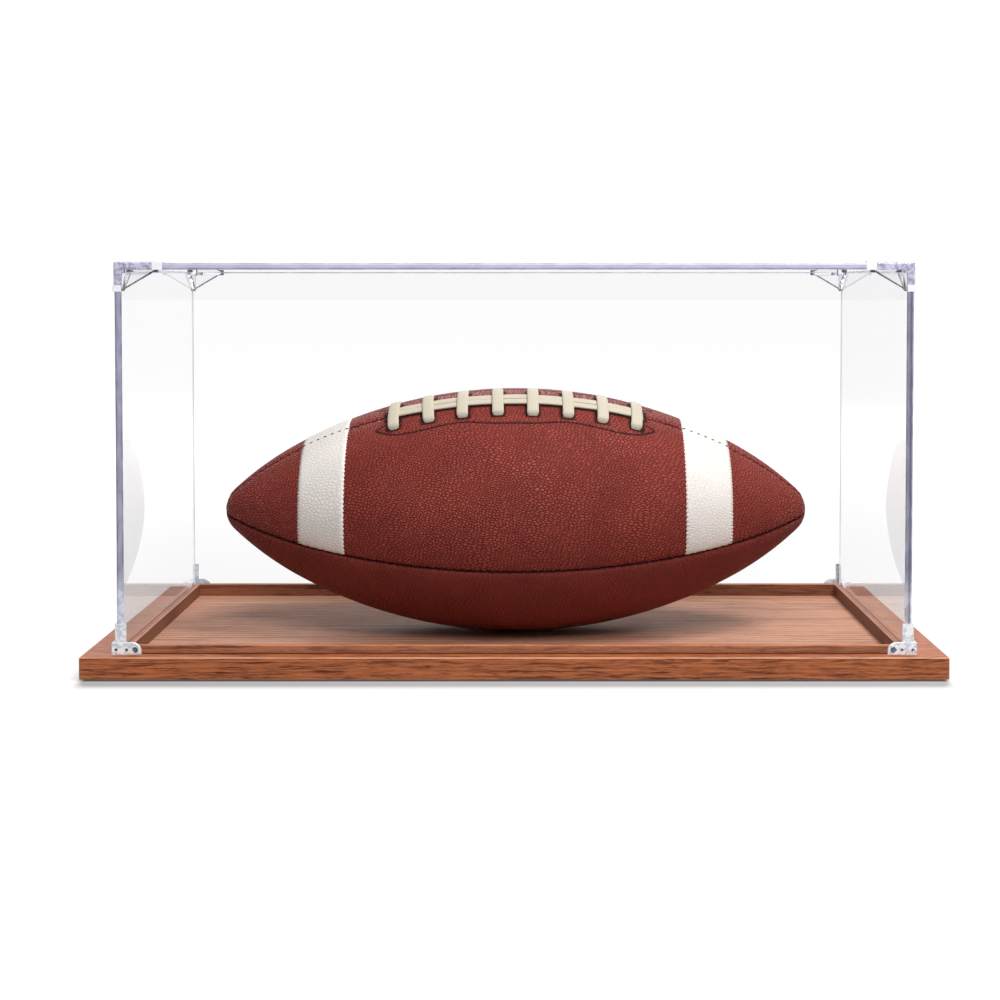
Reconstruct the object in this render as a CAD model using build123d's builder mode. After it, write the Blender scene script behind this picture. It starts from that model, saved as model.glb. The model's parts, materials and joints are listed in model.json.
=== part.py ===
from build123d import *
import os
from math import asin, atan2, cos, degrees, pi, radians, sin, sqrt

# A football display case: a wooden base, a clear cover that lifts off, and the ball that lies inside.
# Millimetres. +X runs along the ball, -Y faces the viewer, +Z is up.
# The origin is the centre of the footprint, on the surface that the case stands on.

# Ball: each side is one large arc, then a tighter shoulder arc, then a small nose arc on the axis.
# The flatness is the large arc's radius over that of one arc run straight into the nose.
# The shoulder starts at its share of the way from the middle to the end.
ball_length = 293.6
ball_radius = 61.2
nose_radius = 14.0
side_flatness = 1.03
shoulder_share = 0.75

# Clear space between the ball and the cover's sheets, and between the ball and the floor
ball_end_gap = 35.2
ball_front_gap = 13.8
ball_rear_gap = 39.8
ball_top_gap = 59.4
ball_seat_gap = 0.3

# Cover sheets
sheet_thickness = 3.0
cover_edge_round = 1.2
sheet_seam_gap = 0.05

# Base slab
end_margin = 15.9
long_side_margin = 8.0
slab_height = 10.2
slab_edge_round = 0.8
recess_depth = 3.1
recess_clearance = 0.1

# Floor boards in the recess
floor_thickness = 2.0
floor_joint_setback = 73.7
floor_joint_gap = 0.15

# Mitred rim strips that locate the cover
rim_thickness = 2.8
rim_proud = 3.7
rim_clearance = 0.4
rim_edge_round = 0.6
mitre_gap = 0.1

# Pads under the base
pad_diameter = 16.0
pad_thickness = 1.0
pad_inset = 16.0

# Three-way connectors at the top corners
gusset_reach = 17.2
gusset_drop = 10.2
gusset_thickness = 1.5
sleeve_reach = 22.4
sleeve_drop = 13.5
sleeve_width = 3.4
sleeve_wall = 0.25
collar_length = 4.8
collar_height = 3.0
collar_wall = 0.6
glue_gap = 0.05

# Corner feet at the bottom of the cover
foot_reach = 11.6
foot_height = 5.6
foot_wall = 1.9
foot_end_round = 4.4
foot_sleeve_height = 14.2
foot_sleeve_width = 4.6
foot_sleeve_wall = 0.6
foot_hole_height = 2.2
foot_hole_depth = 1.2
foot_small_hole = 1.5
foot_large_hole = 2.8
foot_small_hole_setback = 4.9
foot_large_hole_setback = 8.9

# Leather of the ball; a seam's angle is measured from the front, up over the ball
leather_thickness = 3.5
panel_end_bore = 0.6
seam_gap = 0.5
lace_seam_angle = 67.0
lower_front_seam_angle = -23.0
lower_rear_seam_angle = -113.0
upper_rear_seam_angle = 157.0

# White bands on the two upper panels
band_inner = 82.5
band_outer = 106.5
band_thickness = 0.25
band_gap = 0.1

# Laces
lace_count = 8
lace_pitch = 17.0
lace_width = 6.2
lace_thickness = 1.6
lace_half_span = 13.0
lace_leg = 2.2
strand_width = 4.2
strand_spacing = 5.0
strand_thickness = 1.4
strand_overrun = 2.0
lace_lift = 0.1
lace_cross_gap = 0.15

# Bladder and valve
bladder_gap = 0.3
bladder_thickness = 1.2
valve_radius = 2.4
valve_bore = 0.6
valve_clearance = 0.15
valve_inset = 0.2
valve_seat_gap = 0.1
valve_offset = 25.0
valve_angle = -158.0

# Outside of the cover, round the ball that it covers
cover_length = ball_length + 2 * (ball_end_gap + sheet_thickness)
cover_depth = 2 * ball_radius + ball_front_gap + ball_rear_gap + 2 * sheet_thickness
ball_space = ball_seat_gap + 2 * ball_radius + ball_top_gap
cover_height = ball_space - recess_depth + sheet_thickness

# Levels and half sizes that follow from the values above
half_length = cover_length / 2
half_depth = cover_depth / 2
slab_length = cover_length + 2 * end_margin
slab_depth = cover_depth + 2 * long_side_margin
margin_level = pad_thickness + slab_height
floor_level = margin_level - recess_depth
board_underside = floor_level - floor_thickness
rim_top = margin_level + rim_proud
wall_height = cover_height - sheet_thickness - sheet_seam_gap
ceiling_level = margin_level + cover_height - sheet_thickness
cover_top = margin_level + cover_height

inner_half_length = half_length - sheet_thickness
inner_half_depth = half_depth - sheet_thickness
rim_half_length = inner_half_length - rim_clearance
rim_half_depth = inner_half_depth - rim_clearance
recess_half_length = rim_half_length + recess_clearance
recess_half_depth = rim_half_depth + recess_clearance

ball_setback = sheet_thickness + ball_front_gap + ball_radius
ball_center = Vector(0, -half_depth + ball_setback, floor_level + ball_seat_gap + ball_radius)
ball_axis = Axis(ball_center, (1, 0, 0))

os.makedirs("parts", exist_ok=True)


def finish(piece, label):
    piece.part.label = label
    export_step(piece.part, f"parts/{label}.step")


# Base slab: a board with a shallow recess, its upper outer edges eased
with BuildPart() as base_board:
    with BuildSketch(Plane.XY.offset(pad_thickness)):
        Rectangle(slab_length, slab_depth)
    extrude(amount=slab_height)
    top_edges = base_board.edges().group_by(Axis.Z)[-1]
    fillet(top_edges + base_board.edges().filter_by(Axis.Z), slab_edge_round)
    with BuildSketch(Plane.XY.offset(board_underside)):
        Rectangle(2 * recess_half_length, 2 * recess_half_depth)
    extrude(amount=margin_level - board_underside, mode=Mode.SUBTRACT)
finish(base_board, "base_board")

# Floor: two boards side by side, each the full length of the recess
floor_half_depth = recess_half_depth - recess_clearance
floor_length = 2 * (recess_half_length - recess_clearance)
floor_joint = -half_depth + floor_joint_setback
floor_spans = {
    "floor_board_front": (-floor_half_depth, floor_joint - floor_joint_gap / 2),
    "floor_board_rear": (floor_joint + floor_joint_gap / 2, floor_half_depth),
}
for label, (front, rear) in floor_spans.items():
    with BuildPart() as floor_board:
        with BuildSketch(Plane.XY.offset(board_underside)):
            with Locations((0, (front + rear) / 2)):
                Rectangle(floor_length, rear - front)
        extrude(amount=floor_thickness)
    finish(floor_board, label)


def rim_strip(half_run, half_across):
    """A strip along X at the -Y side of a frame, with mitred ends."""
    inner_across = half_across - rim_thickness
    inner_run = half_run - rim_thickness
    with BuildPart() as strip:
        with BuildSketch(Plane.XY.offset(floor_level)):
            with BuildLine():
                Polyline(
                    (-half_run + mitre_gap, -half_across),
                    (half_run - mitre_gap, -half_across),
                    (inner_run - mitre_gap, -inner_across),
                    (-inner_run + mitre_gap, -inner_across),
                    close=True,
                )
            make_face()
        extrude(amount=rim_top - floor_level)
        top_edges = strip.faces().sort_by(Axis.Z)[-1].edges()
        fillet(top_edges.filter_by(Axis.X), rim_edge_round)
    return strip


# Rim: front and rear strips, and side strips turned a quarter
long_strip = rim_strip(rim_half_length, rim_half_depth)
side_strip = rim_strip(rim_half_depth, rim_half_length)
rim_turns = {
    "rim_front": (long_strip, 0),
    "rim_rear": (long_strip, 180),
    "rim_left": (side_strip, -90),
    "rim_right": (side_strip, 90),
}
for label, (strip, turn) in rim_turns.items():
    with BuildPart() as rim:
        add(strip.part, rotation=(0, 0, turn))
    finish(rim, label)

# Pads under the four corners of the slab
with BuildPart() as base_pads:
    with BuildSketch():
        with GridLocations(slab_length - 2 * pad_inset, slab_depth - 2 * pad_inset, 2, 2):
            Circle(pad_diameter / 2)
    extrude(amount=pad_thickness)
finish(base_pads, "base_pads")

# Front and rear sheets of the cover run the full length, with eased outer corners.
# Every sheet is notched where a top connector's core passes through the corner.
core_size = sheet_thickness + gusset_thickness
notch_size = core_size + glue_gap
notch_places = ((-1, -1), (1, -1), (-1, 1), (1, 1))


def notch_corners():
    """Cut the cores' places out of the sheet being made."""
    with BuildSketch(Plane.XY.offset(margin_level + cover_height - notch_size)) as notches:
        with Locations(*[(x * half_length, y * half_depth) for x, y in notch_places]):
            Rectangle(2 * notch_size, 2 * notch_size)
    extrude(notches.sketch, amount=notch_size + glue_gap, mode=Mode.SUBTRACT)


for label, side in {"panel_front": -1, "panel_rear": 1}.items():
    with BuildPart() as wall_sheet:
        with BuildSketch(Plane.XY.offset(margin_level)):
            with Locations((0, side * (half_depth - sheet_thickness / 2))):
                Rectangle(cover_length, sheet_thickness)
        extrude(amount=wall_height)
        outer_face = wall_sheet.faces().sort_by(Axis.Y)[0 if side < 0 else -1]
        fillet(outer_face.edges().filter_by(Axis.Z), cover_edge_round)
        notch_corners()
    finish(wall_sheet, label)

# Side sheets stand between them
side_sheet_depth = cover_depth - 2 * sheet_thickness - 2 * sheet_seam_gap
for label, side in {"panel_left": -1, "panel_right": 1}.items():
    with BuildPart() as side_sheet:
        with BuildSketch(Plane.XY.offset(margin_level)):
            with Locations((side * (half_length - sheet_thickness / 2), 0)):
                Rectangle(sheet_thickness, side_sheet_depth)
        extrude(amount=wall_height)
        notch_corners()
    finish(side_sheet, label)

# Top sheet lies over all four walls
with BuildPart() as panel_top:
    with BuildSketch(Plane.XY.offset(ceiling_level)):
        Rectangle(cover_length, cover_depth)
    extrude(amount=sheet_thickness)
    top_edges = panel_top.edges().group_by(Axis.Z)[-1]
    fillet(top_edges + panel_top.edges().filter_by(Axis.Z), cover_edge_round)
    notch_corners()
finish(panel_top, "panel_top")

# Corner of the cover where the front left fittings sit: outside and inside its sheets
left_outside = -half_length - glue_gap
front_outside = -half_depth - glue_gap
top_outside = cover_top + glue_gap
left_inside = -inner_half_length + glue_gap
front_inside = -inner_half_depth + glue_gap
top_inside = ceiling_level - glue_gap


def block(low_corner, high_corner):
    """An upright block between two opposite corners."""
    size = Vector(*high_corner) - Vector(*low_corner)
    with Locations(low_corner):
        Box(size.X, size.Y, size.Z, align=(Align.MIN, Align.MIN, Align.MIN))


def sleeve_arms(wall, start, reach, drop, rise):
    """Thin strips on both sheets beside each edge of the corner.

    The level arms run from start to reach, and the upright arm from drop below the top to rise.
    """
    left = left_outside - wall
    front = front_outside - wall
    top = top_outside + wall
    lap_x = left_outside + sleeve_width
    lap_y = front_outside + sleeve_width
    lap_z = top_outside - sleeve_width
    end_x = left_outside + reach
    end_y = front_outside + reach
    block((left_outside + start, front, lap_z), (end_x, front_outside, top))
    block((left_outside + start, front, top_outside), (end_x, lap_y, top))
    block((left, front_outside + start, lap_z), (left_outside, end_y, top))
    block((left, front_outside + start, top_outside), (lap_x, end_y, top))
    block((left, front, top_outside - drop), (lap_x, front_outside, top_outside - rise))
    block((left, front, top_outside - drop), (left_outside, lap_y, top_outside - rise))


def gusset(plane, corner, legs, thickness):
    """A triangular plate with its square corner at a point of a plane."""
    x, y = corner
    with BuildSketch(plane) as plate:
        with BuildLine():
            Polyline((x, y), (x + legs[0], y), (x, y + legs[1]), close=True)
        make_face()
    extrude(plate.sketch, amount=thickness)


# Top connector: thin sleeves over the sheet edges, thicker collars at their ends,
# a core through the corner and three gussets inside
with BuildPart() as top_connector:
    sleeve_arms(sleeve_wall, -sleeve_wall, sleeve_reach, sleeve_drop, -sleeve_wall)
    collar_start = sleeve_reach - collar_length
    collar_end = sleeve_drop - collar_height
    sleeve_arms(collar_wall, collar_start, sleeve_reach, sleeve_drop, collar_end)
    core_low = (left_outside, front_outside, cover_top - core_size)
    core_high = (-half_length + core_size, -half_depth + core_size, top_outside)
    block(core_low, core_high)
    front_plane = Plane((0, front_inside, 0), (1, 0, 0), (0, -1, 0))
    side_plane = Plane((left_inside, 0, 0), (0, 1, 0), (1, 0, 0))
    upright_legs = (gusset_reach, -gusset_drop)
    gusset(front_plane, (left_inside, top_inside), upright_legs, -gusset_thickness)
    gusset(side_plane, (front_inside, top_inside), upright_legs, gusset_thickness)
    level_corner = (left_inside, front_inside)
    gusset(Plane.XY.offset(top_inside), level_corner, (gusset_reach, gusset_reach), -gusset_thickness)


def corner_wrap(wall, reach, height):
    """An L round the outside of the cover's bottom corner, standing on the base."""
    with BuildSketch(Plane.XY.offset(margin_level)) as wrap:
        with Locations((left_outside - wall, front_outside - wall)):
            Rectangle(reach + wall, wall, align=(Align.MIN, Align.MIN))
            Rectangle(wall, reach + wall, align=(Align.MIN, Align.MIN))
    extrude(wrap.sketch, amount=height)


# Corner foot: an L of tabs with rounded ends, blind holes in them, and an upright sleeve
with BuildPart() as corner_foot:
    corner_wrap(foot_wall, foot_reach, foot_height)
    tab_tops = corner_foot.edges().group_by(Axis.Z)[-1]
    front_end = tab_tops.filter_by(Axis.Y).sort_by(Axis.X)[-1]
    side_end = tab_tops.filter_by(Axis.X).sort_by(Axis.Y)[-1]
    fillet([front_end, side_end], min(foot_end_round, 0.8 * foot_height, 0.8 * foot_reach))
    corner_wrap(foot_sleeve_wall, foot_sleeve_width, foot_sleeve_height)
    hole_level = margin_level + foot_hole_height
    tab_holes = (
        (0.0, foot_small_hole),
        (foot_small_hole_setback, foot_small_hole),
        (foot_large_hole_setback, foot_large_hole),
    )
    front_tab = Plane((left_outside, front_outside - foot_wall, hole_level), (1, 0, 0), (0, -1, 0))
    side_tab = Plane((left_outside - foot_wall, front_outside, hole_level), (0, 1, 0), (1, 0, 0))
    for tab_face, into_tab in ((front_tab, -foot_hole_depth), (side_tab, foot_hole_depth)):
        for setback, bore in tab_holes:
            with BuildSketch(tab_face):
                with Locations((setback, 0)):
                    Circle(bore / 2)
            extrude(amount=into_tab, mode=Mode.SUBTRACT)

# The other corners are mirror images of the front left one
corner_mirrors = {
    "front_left": (),
    "front_right": (Plane.YZ,),
    "rear_left": (Plane.XZ,),
    "rear_right": (Plane.YZ, Plane.XZ),
}
for kind, pattern in {"connector": top_connector, "foot": corner_foot}.items():
    for corner, planes in corner_mirrors.items():
        with BuildPart() as corner_piece:
            add(pattern.part)
            for plane in planes:
                mirror(about=plane, mode=Mode.REPLACE)
        finish(corner_piece, f"{kind}_{corner}")

# The arcs meet without a corner, so their radii and centres follow from the ball's size
half_ball = ball_length / 2
nose_center = half_ball - nose_radius
plain_curve = (nose_center**2 + ball_radius**2 - nose_radius**2) / (2 * (ball_radius - nose_radius))
side_curve = side_flatness * plain_curve
side_center_drop = side_curve - ball_radius
shoulder_lean = asin(shoulder_share * half_ball / side_curve)
from_nose_x = side_curve * sin(shoulder_lean) - nose_center
from_nose_r = side_curve * cos(shoulder_lean) - side_center_drop
lean_reach = from_nose_x * sin(shoulder_lean) + from_nose_r * cos(shoulder_lean)
shoulder_curve = (from_nose_x**2 + from_nose_r**2 - nose_radius**2) / (2 * (lean_reach - nose_radius))
shoulder_center = (side_curve - shoulder_curve) * sin(shoulder_lean)
shoulder_center_drop = side_center_drop - (side_curve - shoulder_curve) * cos(shoulder_lean)
nose_lean = atan2(nose_center - shoulder_center, shoulder_center_drop)


def side_height(along, offset=0.0):
    """Distance from the ball's axis to its side arc, a given distance along from the middle."""
    return sqrt((side_curve + offset) ** 2 - along**2) - side_center_drop


def side_slope(along):
    """Angle of the ball's side arc to its axis, in degrees."""
    return degrees(atan2(along, sqrt(side_curve**2 - along**2)))


def arc_point(center_x, center_r, radius, lean):
    """Point of an arc; the lean is measured from straight away from the axis."""
    return center_x + radius * sin(lean), center_r + radius * cos(lean)


def outline(offset):
    """Lines of the ball's outline from its left end to its right end, above the axis."""
    shoulder_radius = shoulder_curve + offset
    shoulder_middle = (shoulder_lean + nose_lean) / 2
    nose_middle = (nose_lean + pi / 2) / 2
    end_x = half_ball + offset
    right = [
        arc_point(0, -side_center_drop, side_curve + offset, shoulder_lean),
        arc_point(shoulder_center, -shoulder_center_drop, shoulder_radius, shoulder_middle),
        arc_point(nose_center, 0, nose_radius + offset, nose_lean),
        arc_point(nose_center, 0, nose_radius + offset, nose_middle),
        (end_x, 0),
    ]
    left = [(-x, r) for x, r in right]
    ThreePointArc(left[4], left[3], left[2])
    ThreePointArc(left[2], left[1], left[0])
    ThreePointArc(left[0], (0, ball_radius + offset), right[0])
    ThreePointArc(right[0], right[1], right[2])
    ThreePointArc(right[2], right[3], right[4])
    return end_x


def meridian(angle):
    """Plane through the ball's axis; the angle is from the front, up over the ball."""
    turned = radians(180 - angle)
    return Plane(ball_center, (1, 0, 0), (0, -sin(turned), cos(turned)))


def ring_shell(outer_offset, inner_offset):
    """Face between two outlines of the ball."""
    with BuildLine() as outer:
        outer_end = outline(outer_offset)
        Line((outer_end, 0), (-outer_end, 0))
    make_face(outer.edges())
    with BuildLine() as inner:
        inner_end = outline(inner_offset)
        Line((inner_end, 0), (-inner_end, 0))
    make_face(inner.edges(), mode=Mode.SUBTRACT)


def degrees_for(length):
    """Angle that a length takes round the ball's middle."""
    return degrees(length / ball_radius)


# Leather: four pointed panels between the seams, each with its share of the seam gaps.
# The ball turns about its axis from the front upwards, so an arc runs against the angle.
seam_share = degrees_for(seam_gap) / 2
leather_spans = {
    "leather_upper_front": (lace_seam_angle, lower_front_seam_angle),
    "leather_lower_front": (lower_front_seam_angle, lower_rear_seam_angle),
    "leather_lower_rear": (lower_rear_seam_angle, upper_rear_seam_angle - 360),
    "leather_upper_rear": (upper_rear_seam_angle, lace_seam_angle),
}
valve_plane = Plane(
    ball_center + Vector(valve_offset, 0, 0),
    (1, 0, 0),
    (0, -cos(radians(valve_angle)), sin(radians(valve_angle))),
)
for label, (start, end) in leather_spans.items():
    with BuildPart() as leather:
        with BuildSketch(meridian(start - seam_share)):
            ring_shell(0, -leather_thickness)
            Rectangle(2 * ball_length, 2 * panel_end_bore, mode=Mode.SUBTRACT)
        revolve(axis=ball_axis, revolution_arc=start - end - 2 * seam_share)
        if label == "leather_lower_rear":
            with BuildSketch(valve_plane):
                Circle(valve_radius + valve_clearance)
            extrude(amount=ball_radius + leather_thickness, mode=Mode.SUBTRACT)
    finish(leather, label)

# White bands round the two upper panels near each end
upper_spans = {
    "front": leather_spans["leather_upper_front"],
    "rear": leather_spans["leather_upper_rear"],
}
for end_name, end_sign in {"left": -1, "right": 1}.items():
    for side_name, (start, end) in upper_spans.items():
        with BuildPart() as stripe:
            with BuildSketch(meridian(start - seam_share)):
                ring_shell(band_gap + band_thickness, band_gap)
                with Locations((end_sign * (band_inner + band_outer) / 2, ball_radius)):
                    Rectangle(band_outer - band_inner, 2 * ball_radius, mode=Mode.INTERSECT)
            revolve(axis=ball_axis, revolution_arc=start - end - 2 * seam_share)
        finish(stripe, f"stripe_{side_name}_{end_name}")

# Long lace: two strands side by side along the top seam
strand_low = lace_lift
strand_high = strand_low + strand_thickness
strand_half_run = lace_pitch * (lace_count - 1) / 2 + strand_overrun
strand_arc = degrees_for(strand_width)
with BuildPart() as long_lace:
    for side in (-1, 1):
        middle = lace_seam_angle + side * degrees_for(strand_spacing) / 2
        with BuildSketch(meridian(middle + strand_arc / 2)):
            ring_shell(strand_high, strand_low)
            with Locations((0, ball_radius)):
                Rectangle(2 * strand_half_run, 2 * ball_radius, mode=Mode.INTERSECT)
        revolve(axis=ball_axis, revolution_arc=strand_arc)
finish(long_lace, "long_lace")

# Short laces over the long one, with a leg down to the leather at each end
lace_low = strand_high + lace_cross_gap
lace_high = lace_low + lace_thickness
half_arc = degrees_for(lace_half_span)
leg_arc = degrees_for(lace_leg)


def lace_section(along, low, high):
    """Section of a short lace, square to the ball's side."""
    middle = (low + high) / 2
    slope = side_slope(along)
    shift = middle * sin(radians(slope))
    with Locations(Location((along + shift, side_height(along) + middle * cos(radians(slope))))):
        Rectangle(lace_width, high - low, rotation=-slope)


with BuildPart() as cross_laces:
    for index in range(lace_count):
        along = (index - (lace_count - 1) / 2) * lace_pitch
        with BuildSketch(meridian(lace_seam_angle + half_arc)):
            lace_section(along, lace_low, lace_high)
        revolve(axis=ball_axis, revolution_arc=2 * half_arc)
        for leg_start in (lace_seam_angle + half_arc, lace_seam_angle - half_arc + leg_arc):
            with BuildSketch(meridian(leg_start)):
                lace_section(along, lace_lift, lace_high)
            revolve(axis=ball_axis, revolution_arc=leg_arc)
finish(cross_laces, "cross_laces")

# Bladder: a closed thin shell inside the leather
bladder_outside = -leather_thickness - bladder_gap
with BuildPart() as bladder:
    with BuildSketch(meridian(lace_seam_angle)):
        ring_shell(bladder_outside, bladder_outside - bladder_thickness)
    revolve(axis=ball_axis)
finish(bladder, "bladder")

# Valve: a plug through the lower rear panel, down to the bladder, with a needle hole
valve_outer = side_height(valve_offset) - valve_inset
valve_high_side = max(0, abs(valve_offset) - valve_radius)
valve_inner = side_height(valve_high_side, bladder_outside) + valve_seat_gap
with BuildPart() as valve:
    with BuildSketch(valve_plane.offset(valve_inner)):
        Circle(valve_radius)
        Circle(valve_bore, mode=Mode.SUBTRACT)
    extrude(amount=valve_outer - valve_inner)
finish(valve, "valve")
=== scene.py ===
"""The display case dressed for its picture: wooden base, clear cover and laced ball."""

import json
import logging
import math
from dataclasses import dataclass, field
from enum import Enum
from typing import Any, Callable, Sequence

import bmesh
import bpy
from bpy.types import Material, Mesh, MeshPolygon, Node, NodeSocket, NodeTree, Object
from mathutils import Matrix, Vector

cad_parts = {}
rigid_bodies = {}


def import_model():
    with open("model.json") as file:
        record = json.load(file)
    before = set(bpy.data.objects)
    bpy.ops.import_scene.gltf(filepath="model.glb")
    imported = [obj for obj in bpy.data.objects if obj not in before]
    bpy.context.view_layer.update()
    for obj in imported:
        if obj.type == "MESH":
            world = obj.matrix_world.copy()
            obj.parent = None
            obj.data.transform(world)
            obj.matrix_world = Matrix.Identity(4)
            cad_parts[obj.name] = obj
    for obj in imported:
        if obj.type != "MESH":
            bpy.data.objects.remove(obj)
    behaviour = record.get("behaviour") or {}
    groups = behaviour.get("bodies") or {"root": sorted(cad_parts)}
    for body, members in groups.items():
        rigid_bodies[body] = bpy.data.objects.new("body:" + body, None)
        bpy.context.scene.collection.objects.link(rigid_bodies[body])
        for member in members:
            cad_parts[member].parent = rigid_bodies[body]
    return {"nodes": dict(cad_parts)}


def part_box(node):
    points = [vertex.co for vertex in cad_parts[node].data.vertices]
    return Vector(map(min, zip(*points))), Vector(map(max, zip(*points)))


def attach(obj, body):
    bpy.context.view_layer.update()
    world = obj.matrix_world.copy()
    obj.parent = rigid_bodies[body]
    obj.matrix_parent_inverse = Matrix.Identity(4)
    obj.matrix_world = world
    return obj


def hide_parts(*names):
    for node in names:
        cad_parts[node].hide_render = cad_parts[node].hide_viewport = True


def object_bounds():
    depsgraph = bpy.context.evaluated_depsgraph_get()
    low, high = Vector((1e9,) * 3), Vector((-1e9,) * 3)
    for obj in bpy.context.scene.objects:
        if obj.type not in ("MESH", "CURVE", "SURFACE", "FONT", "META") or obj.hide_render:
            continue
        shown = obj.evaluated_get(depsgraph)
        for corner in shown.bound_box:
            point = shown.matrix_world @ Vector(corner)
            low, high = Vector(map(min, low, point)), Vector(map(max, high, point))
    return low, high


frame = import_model()
CAD_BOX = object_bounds()

log = logging.getLogger("display_case")
MM = 0.001
ACRYLIC_IOR = 1.49
# How many handling marks come per metre on each kind of surface.
MARK_SIZES = {"wood": 26.0, "clear": 18.0, "hide": 30.0, "dull": 40.0}

Color = tuple[float, float, float, float]
Place = tuple[float, float, float]
Seams = tuple[float, float]
Spot = tuple[Vector, Vector]
Ring = tuple[Vector, Vector, Vector]
Outputs = bpy.types.bpy_prop_collection


def srgb(red: int, green: int, blue: int) -> Color:
    """Turn a screen colour into a linear one.

    Args:
        red, green, blue: The colour as it shows, each from 0 to 255.

    Returns:
        The linear colour with an alpha of 1.
    """
    linear = []
    for part in (red, green, blue):
        share = part / 255
        linear.append(share / 12.92 if share <= 0.04045 else ((share + 0.055) / 1.055) ** 2.4)
    return (linear[0], linear[1], linear[2], 1.0)


# Node tools


class Graph:
    """Adds nodes to a tree, sets their sockets and joins them."""

    def __init__(self, tree: NodeTree) -> None:
        """Keep the tree to work on.

        Args:
            tree: The node tree that gets the nodes.
        """
        self.tree = tree

    def feed(self, socket: NodeSocket, value: Any) -> None:
        """Join a socket to an output, or set its value.

        Args:
            socket: The input socket.
            value: Another node's output socket, or a plain value.
        """
        if isinstance(value, NodeSocket):
            self.tree.links.new(value, socket)
        else:
            socket.default_value = value

    def add(self, kind: str, inputs: dict | None = None, **settings: Any) -> Node:
        """Add a node.

        Args:
            kind: The node's type name.
            inputs: Sockets by name or number, with a value or an output for each.
            settings: The node's own properties.

        Returns:
            The new node.
        """
        node = self.tree.nodes.new(kind)
        for name, value in settings.items():
            setattr(node, name, value)
        for key, value in (inputs or {}).items():
            self.feed(node.inputs[key], value)
        return node

    def math(self, operation: str, *values: Any, clamp: bool = False) -> NodeSocket:
        """Add a Math node and give back its output."""
        node = self.add("ShaderNodeMath", dict(enumerate(values)), operation=operation)
        node.use_clamp = clamp
        return node.outputs[0]

    def vector(self, operation: str, *values: Any) -> NodeSocket:
        """Add a Vector Math node and give back its vector output."""
        node = self.add("ShaderNodeVectorMath", dict(enumerate(values)), operation=operation)
        return node.outputs["Vector"]

    def mix(self, factor: Any, first: Any, second: Any, blend: str = "MIX") -> NodeSocket:
        """Add a colour Mix node and give back its output."""
        node = self.add("ShaderNodeMix", data_type="RGBA", blend_type=blend)
        self.feed(node.inputs[0], factor)
        self.feed(node.inputs[6], first)
        self.feed(node.inputs[7], second)
        return node.outputs[2]

    def span(
        self, value: Any, low: float, high: float, to_low: float = 0.0, to_high: float = 1.0
    ) -> NodeSocket:
        """Map a value smoothly from one span to another.

        Args:
            value: The output to map.
            low, high: The span that the value is read over.
            to_low, to_high: What its ends become.

        Returns:
            The mapped value's socket.
        """
        sockets = {0: value, 1: low, 2: high, 3: to_low, 4: to_high}
        node = self.add("ShaderNodeMapRange", sockets, interpolation_type="SMOOTHSTEP")
        return node.outputs[0]

    def noise_node(self, vector: Any, scale: float, detail: float, rough: float = 0.5) -> Node:
        """Add a Noise Texture."""
        sockets = {"Vector": vector, "Scale": scale, "Detail": detail, "Roughness": rough}
        return self.add("ShaderNodeTexNoise", sockets)

    def noise(self, vector: Any, scale: float, detail: float = 2.0, rough: float = 0.5) -> NodeSocket:
        """Give noise from 0 to 1."""
        return self.noise_node(vector, scale, detail, rough).outputs["Fac"]

    def drift(self, vector: Any, scale: float, detail: float) -> NodeSocket:
        """Give a noise vector that sways about zero."""
        noise = self.noise_node(vector, scale, detail)
        return self.vector("SUBTRACT", noise.outputs["Color"], (0.5, 0.5, 0.5))

    def length(self, vector: Any) -> NodeSocket:
        """Give a vector's length."""
        return self.add("ShaderNodeVectorMath", {0: vector}, operation="LENGTH").outputs["Value"]

    def scale(self, vector: Any, factor: Any) -> NodeSocket:
        """Give a vector times a number."""
        sockets = {0: vector, "Scale": factor}
        return self.add("ShaderNodeVectorMath", sockets, operation="SCALE").outputs[0]

    def split(self, vector: Any) -> Outputs:
        """Give a vector's three parts."""
        return self.add("ShaderNodeSeparateXYZ", {0: vector}).outputs

    def combine(self, x: Any = 0.0, y: Any = 0.0, z: Any = 0.0) -> NodeSocket:
        """Give the vector of three numbers."""
        return self.add("ShaderNodeCombineXYZ", {0: x, 1: y, 2: z}).outputs[0]

    def stored(self, name: str, output: str = "Fac") -> NodeSocket:
        """Give an attribute that the mesh stores."""
        return self.add("ShaderNodeAttribute", attribute_name=name).outputs[output]

    def bump(self, shader: Node, height: Any, distance: float, strength: float = 1.0) -> None:
        """Feed a shader's normal from a height.

        Args:
            shader: The Principled shader.
            height: The height's output.
            distance: The relief's depth in metres.
            strength: Share of it that shows.
        """
        sockets = {"Height": height, "Distance": distance, "Strength": strength}
        self.feed(shader.inputs["Normal"], self.add("ShaderNodeBump", sockets).outputs[0])


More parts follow.
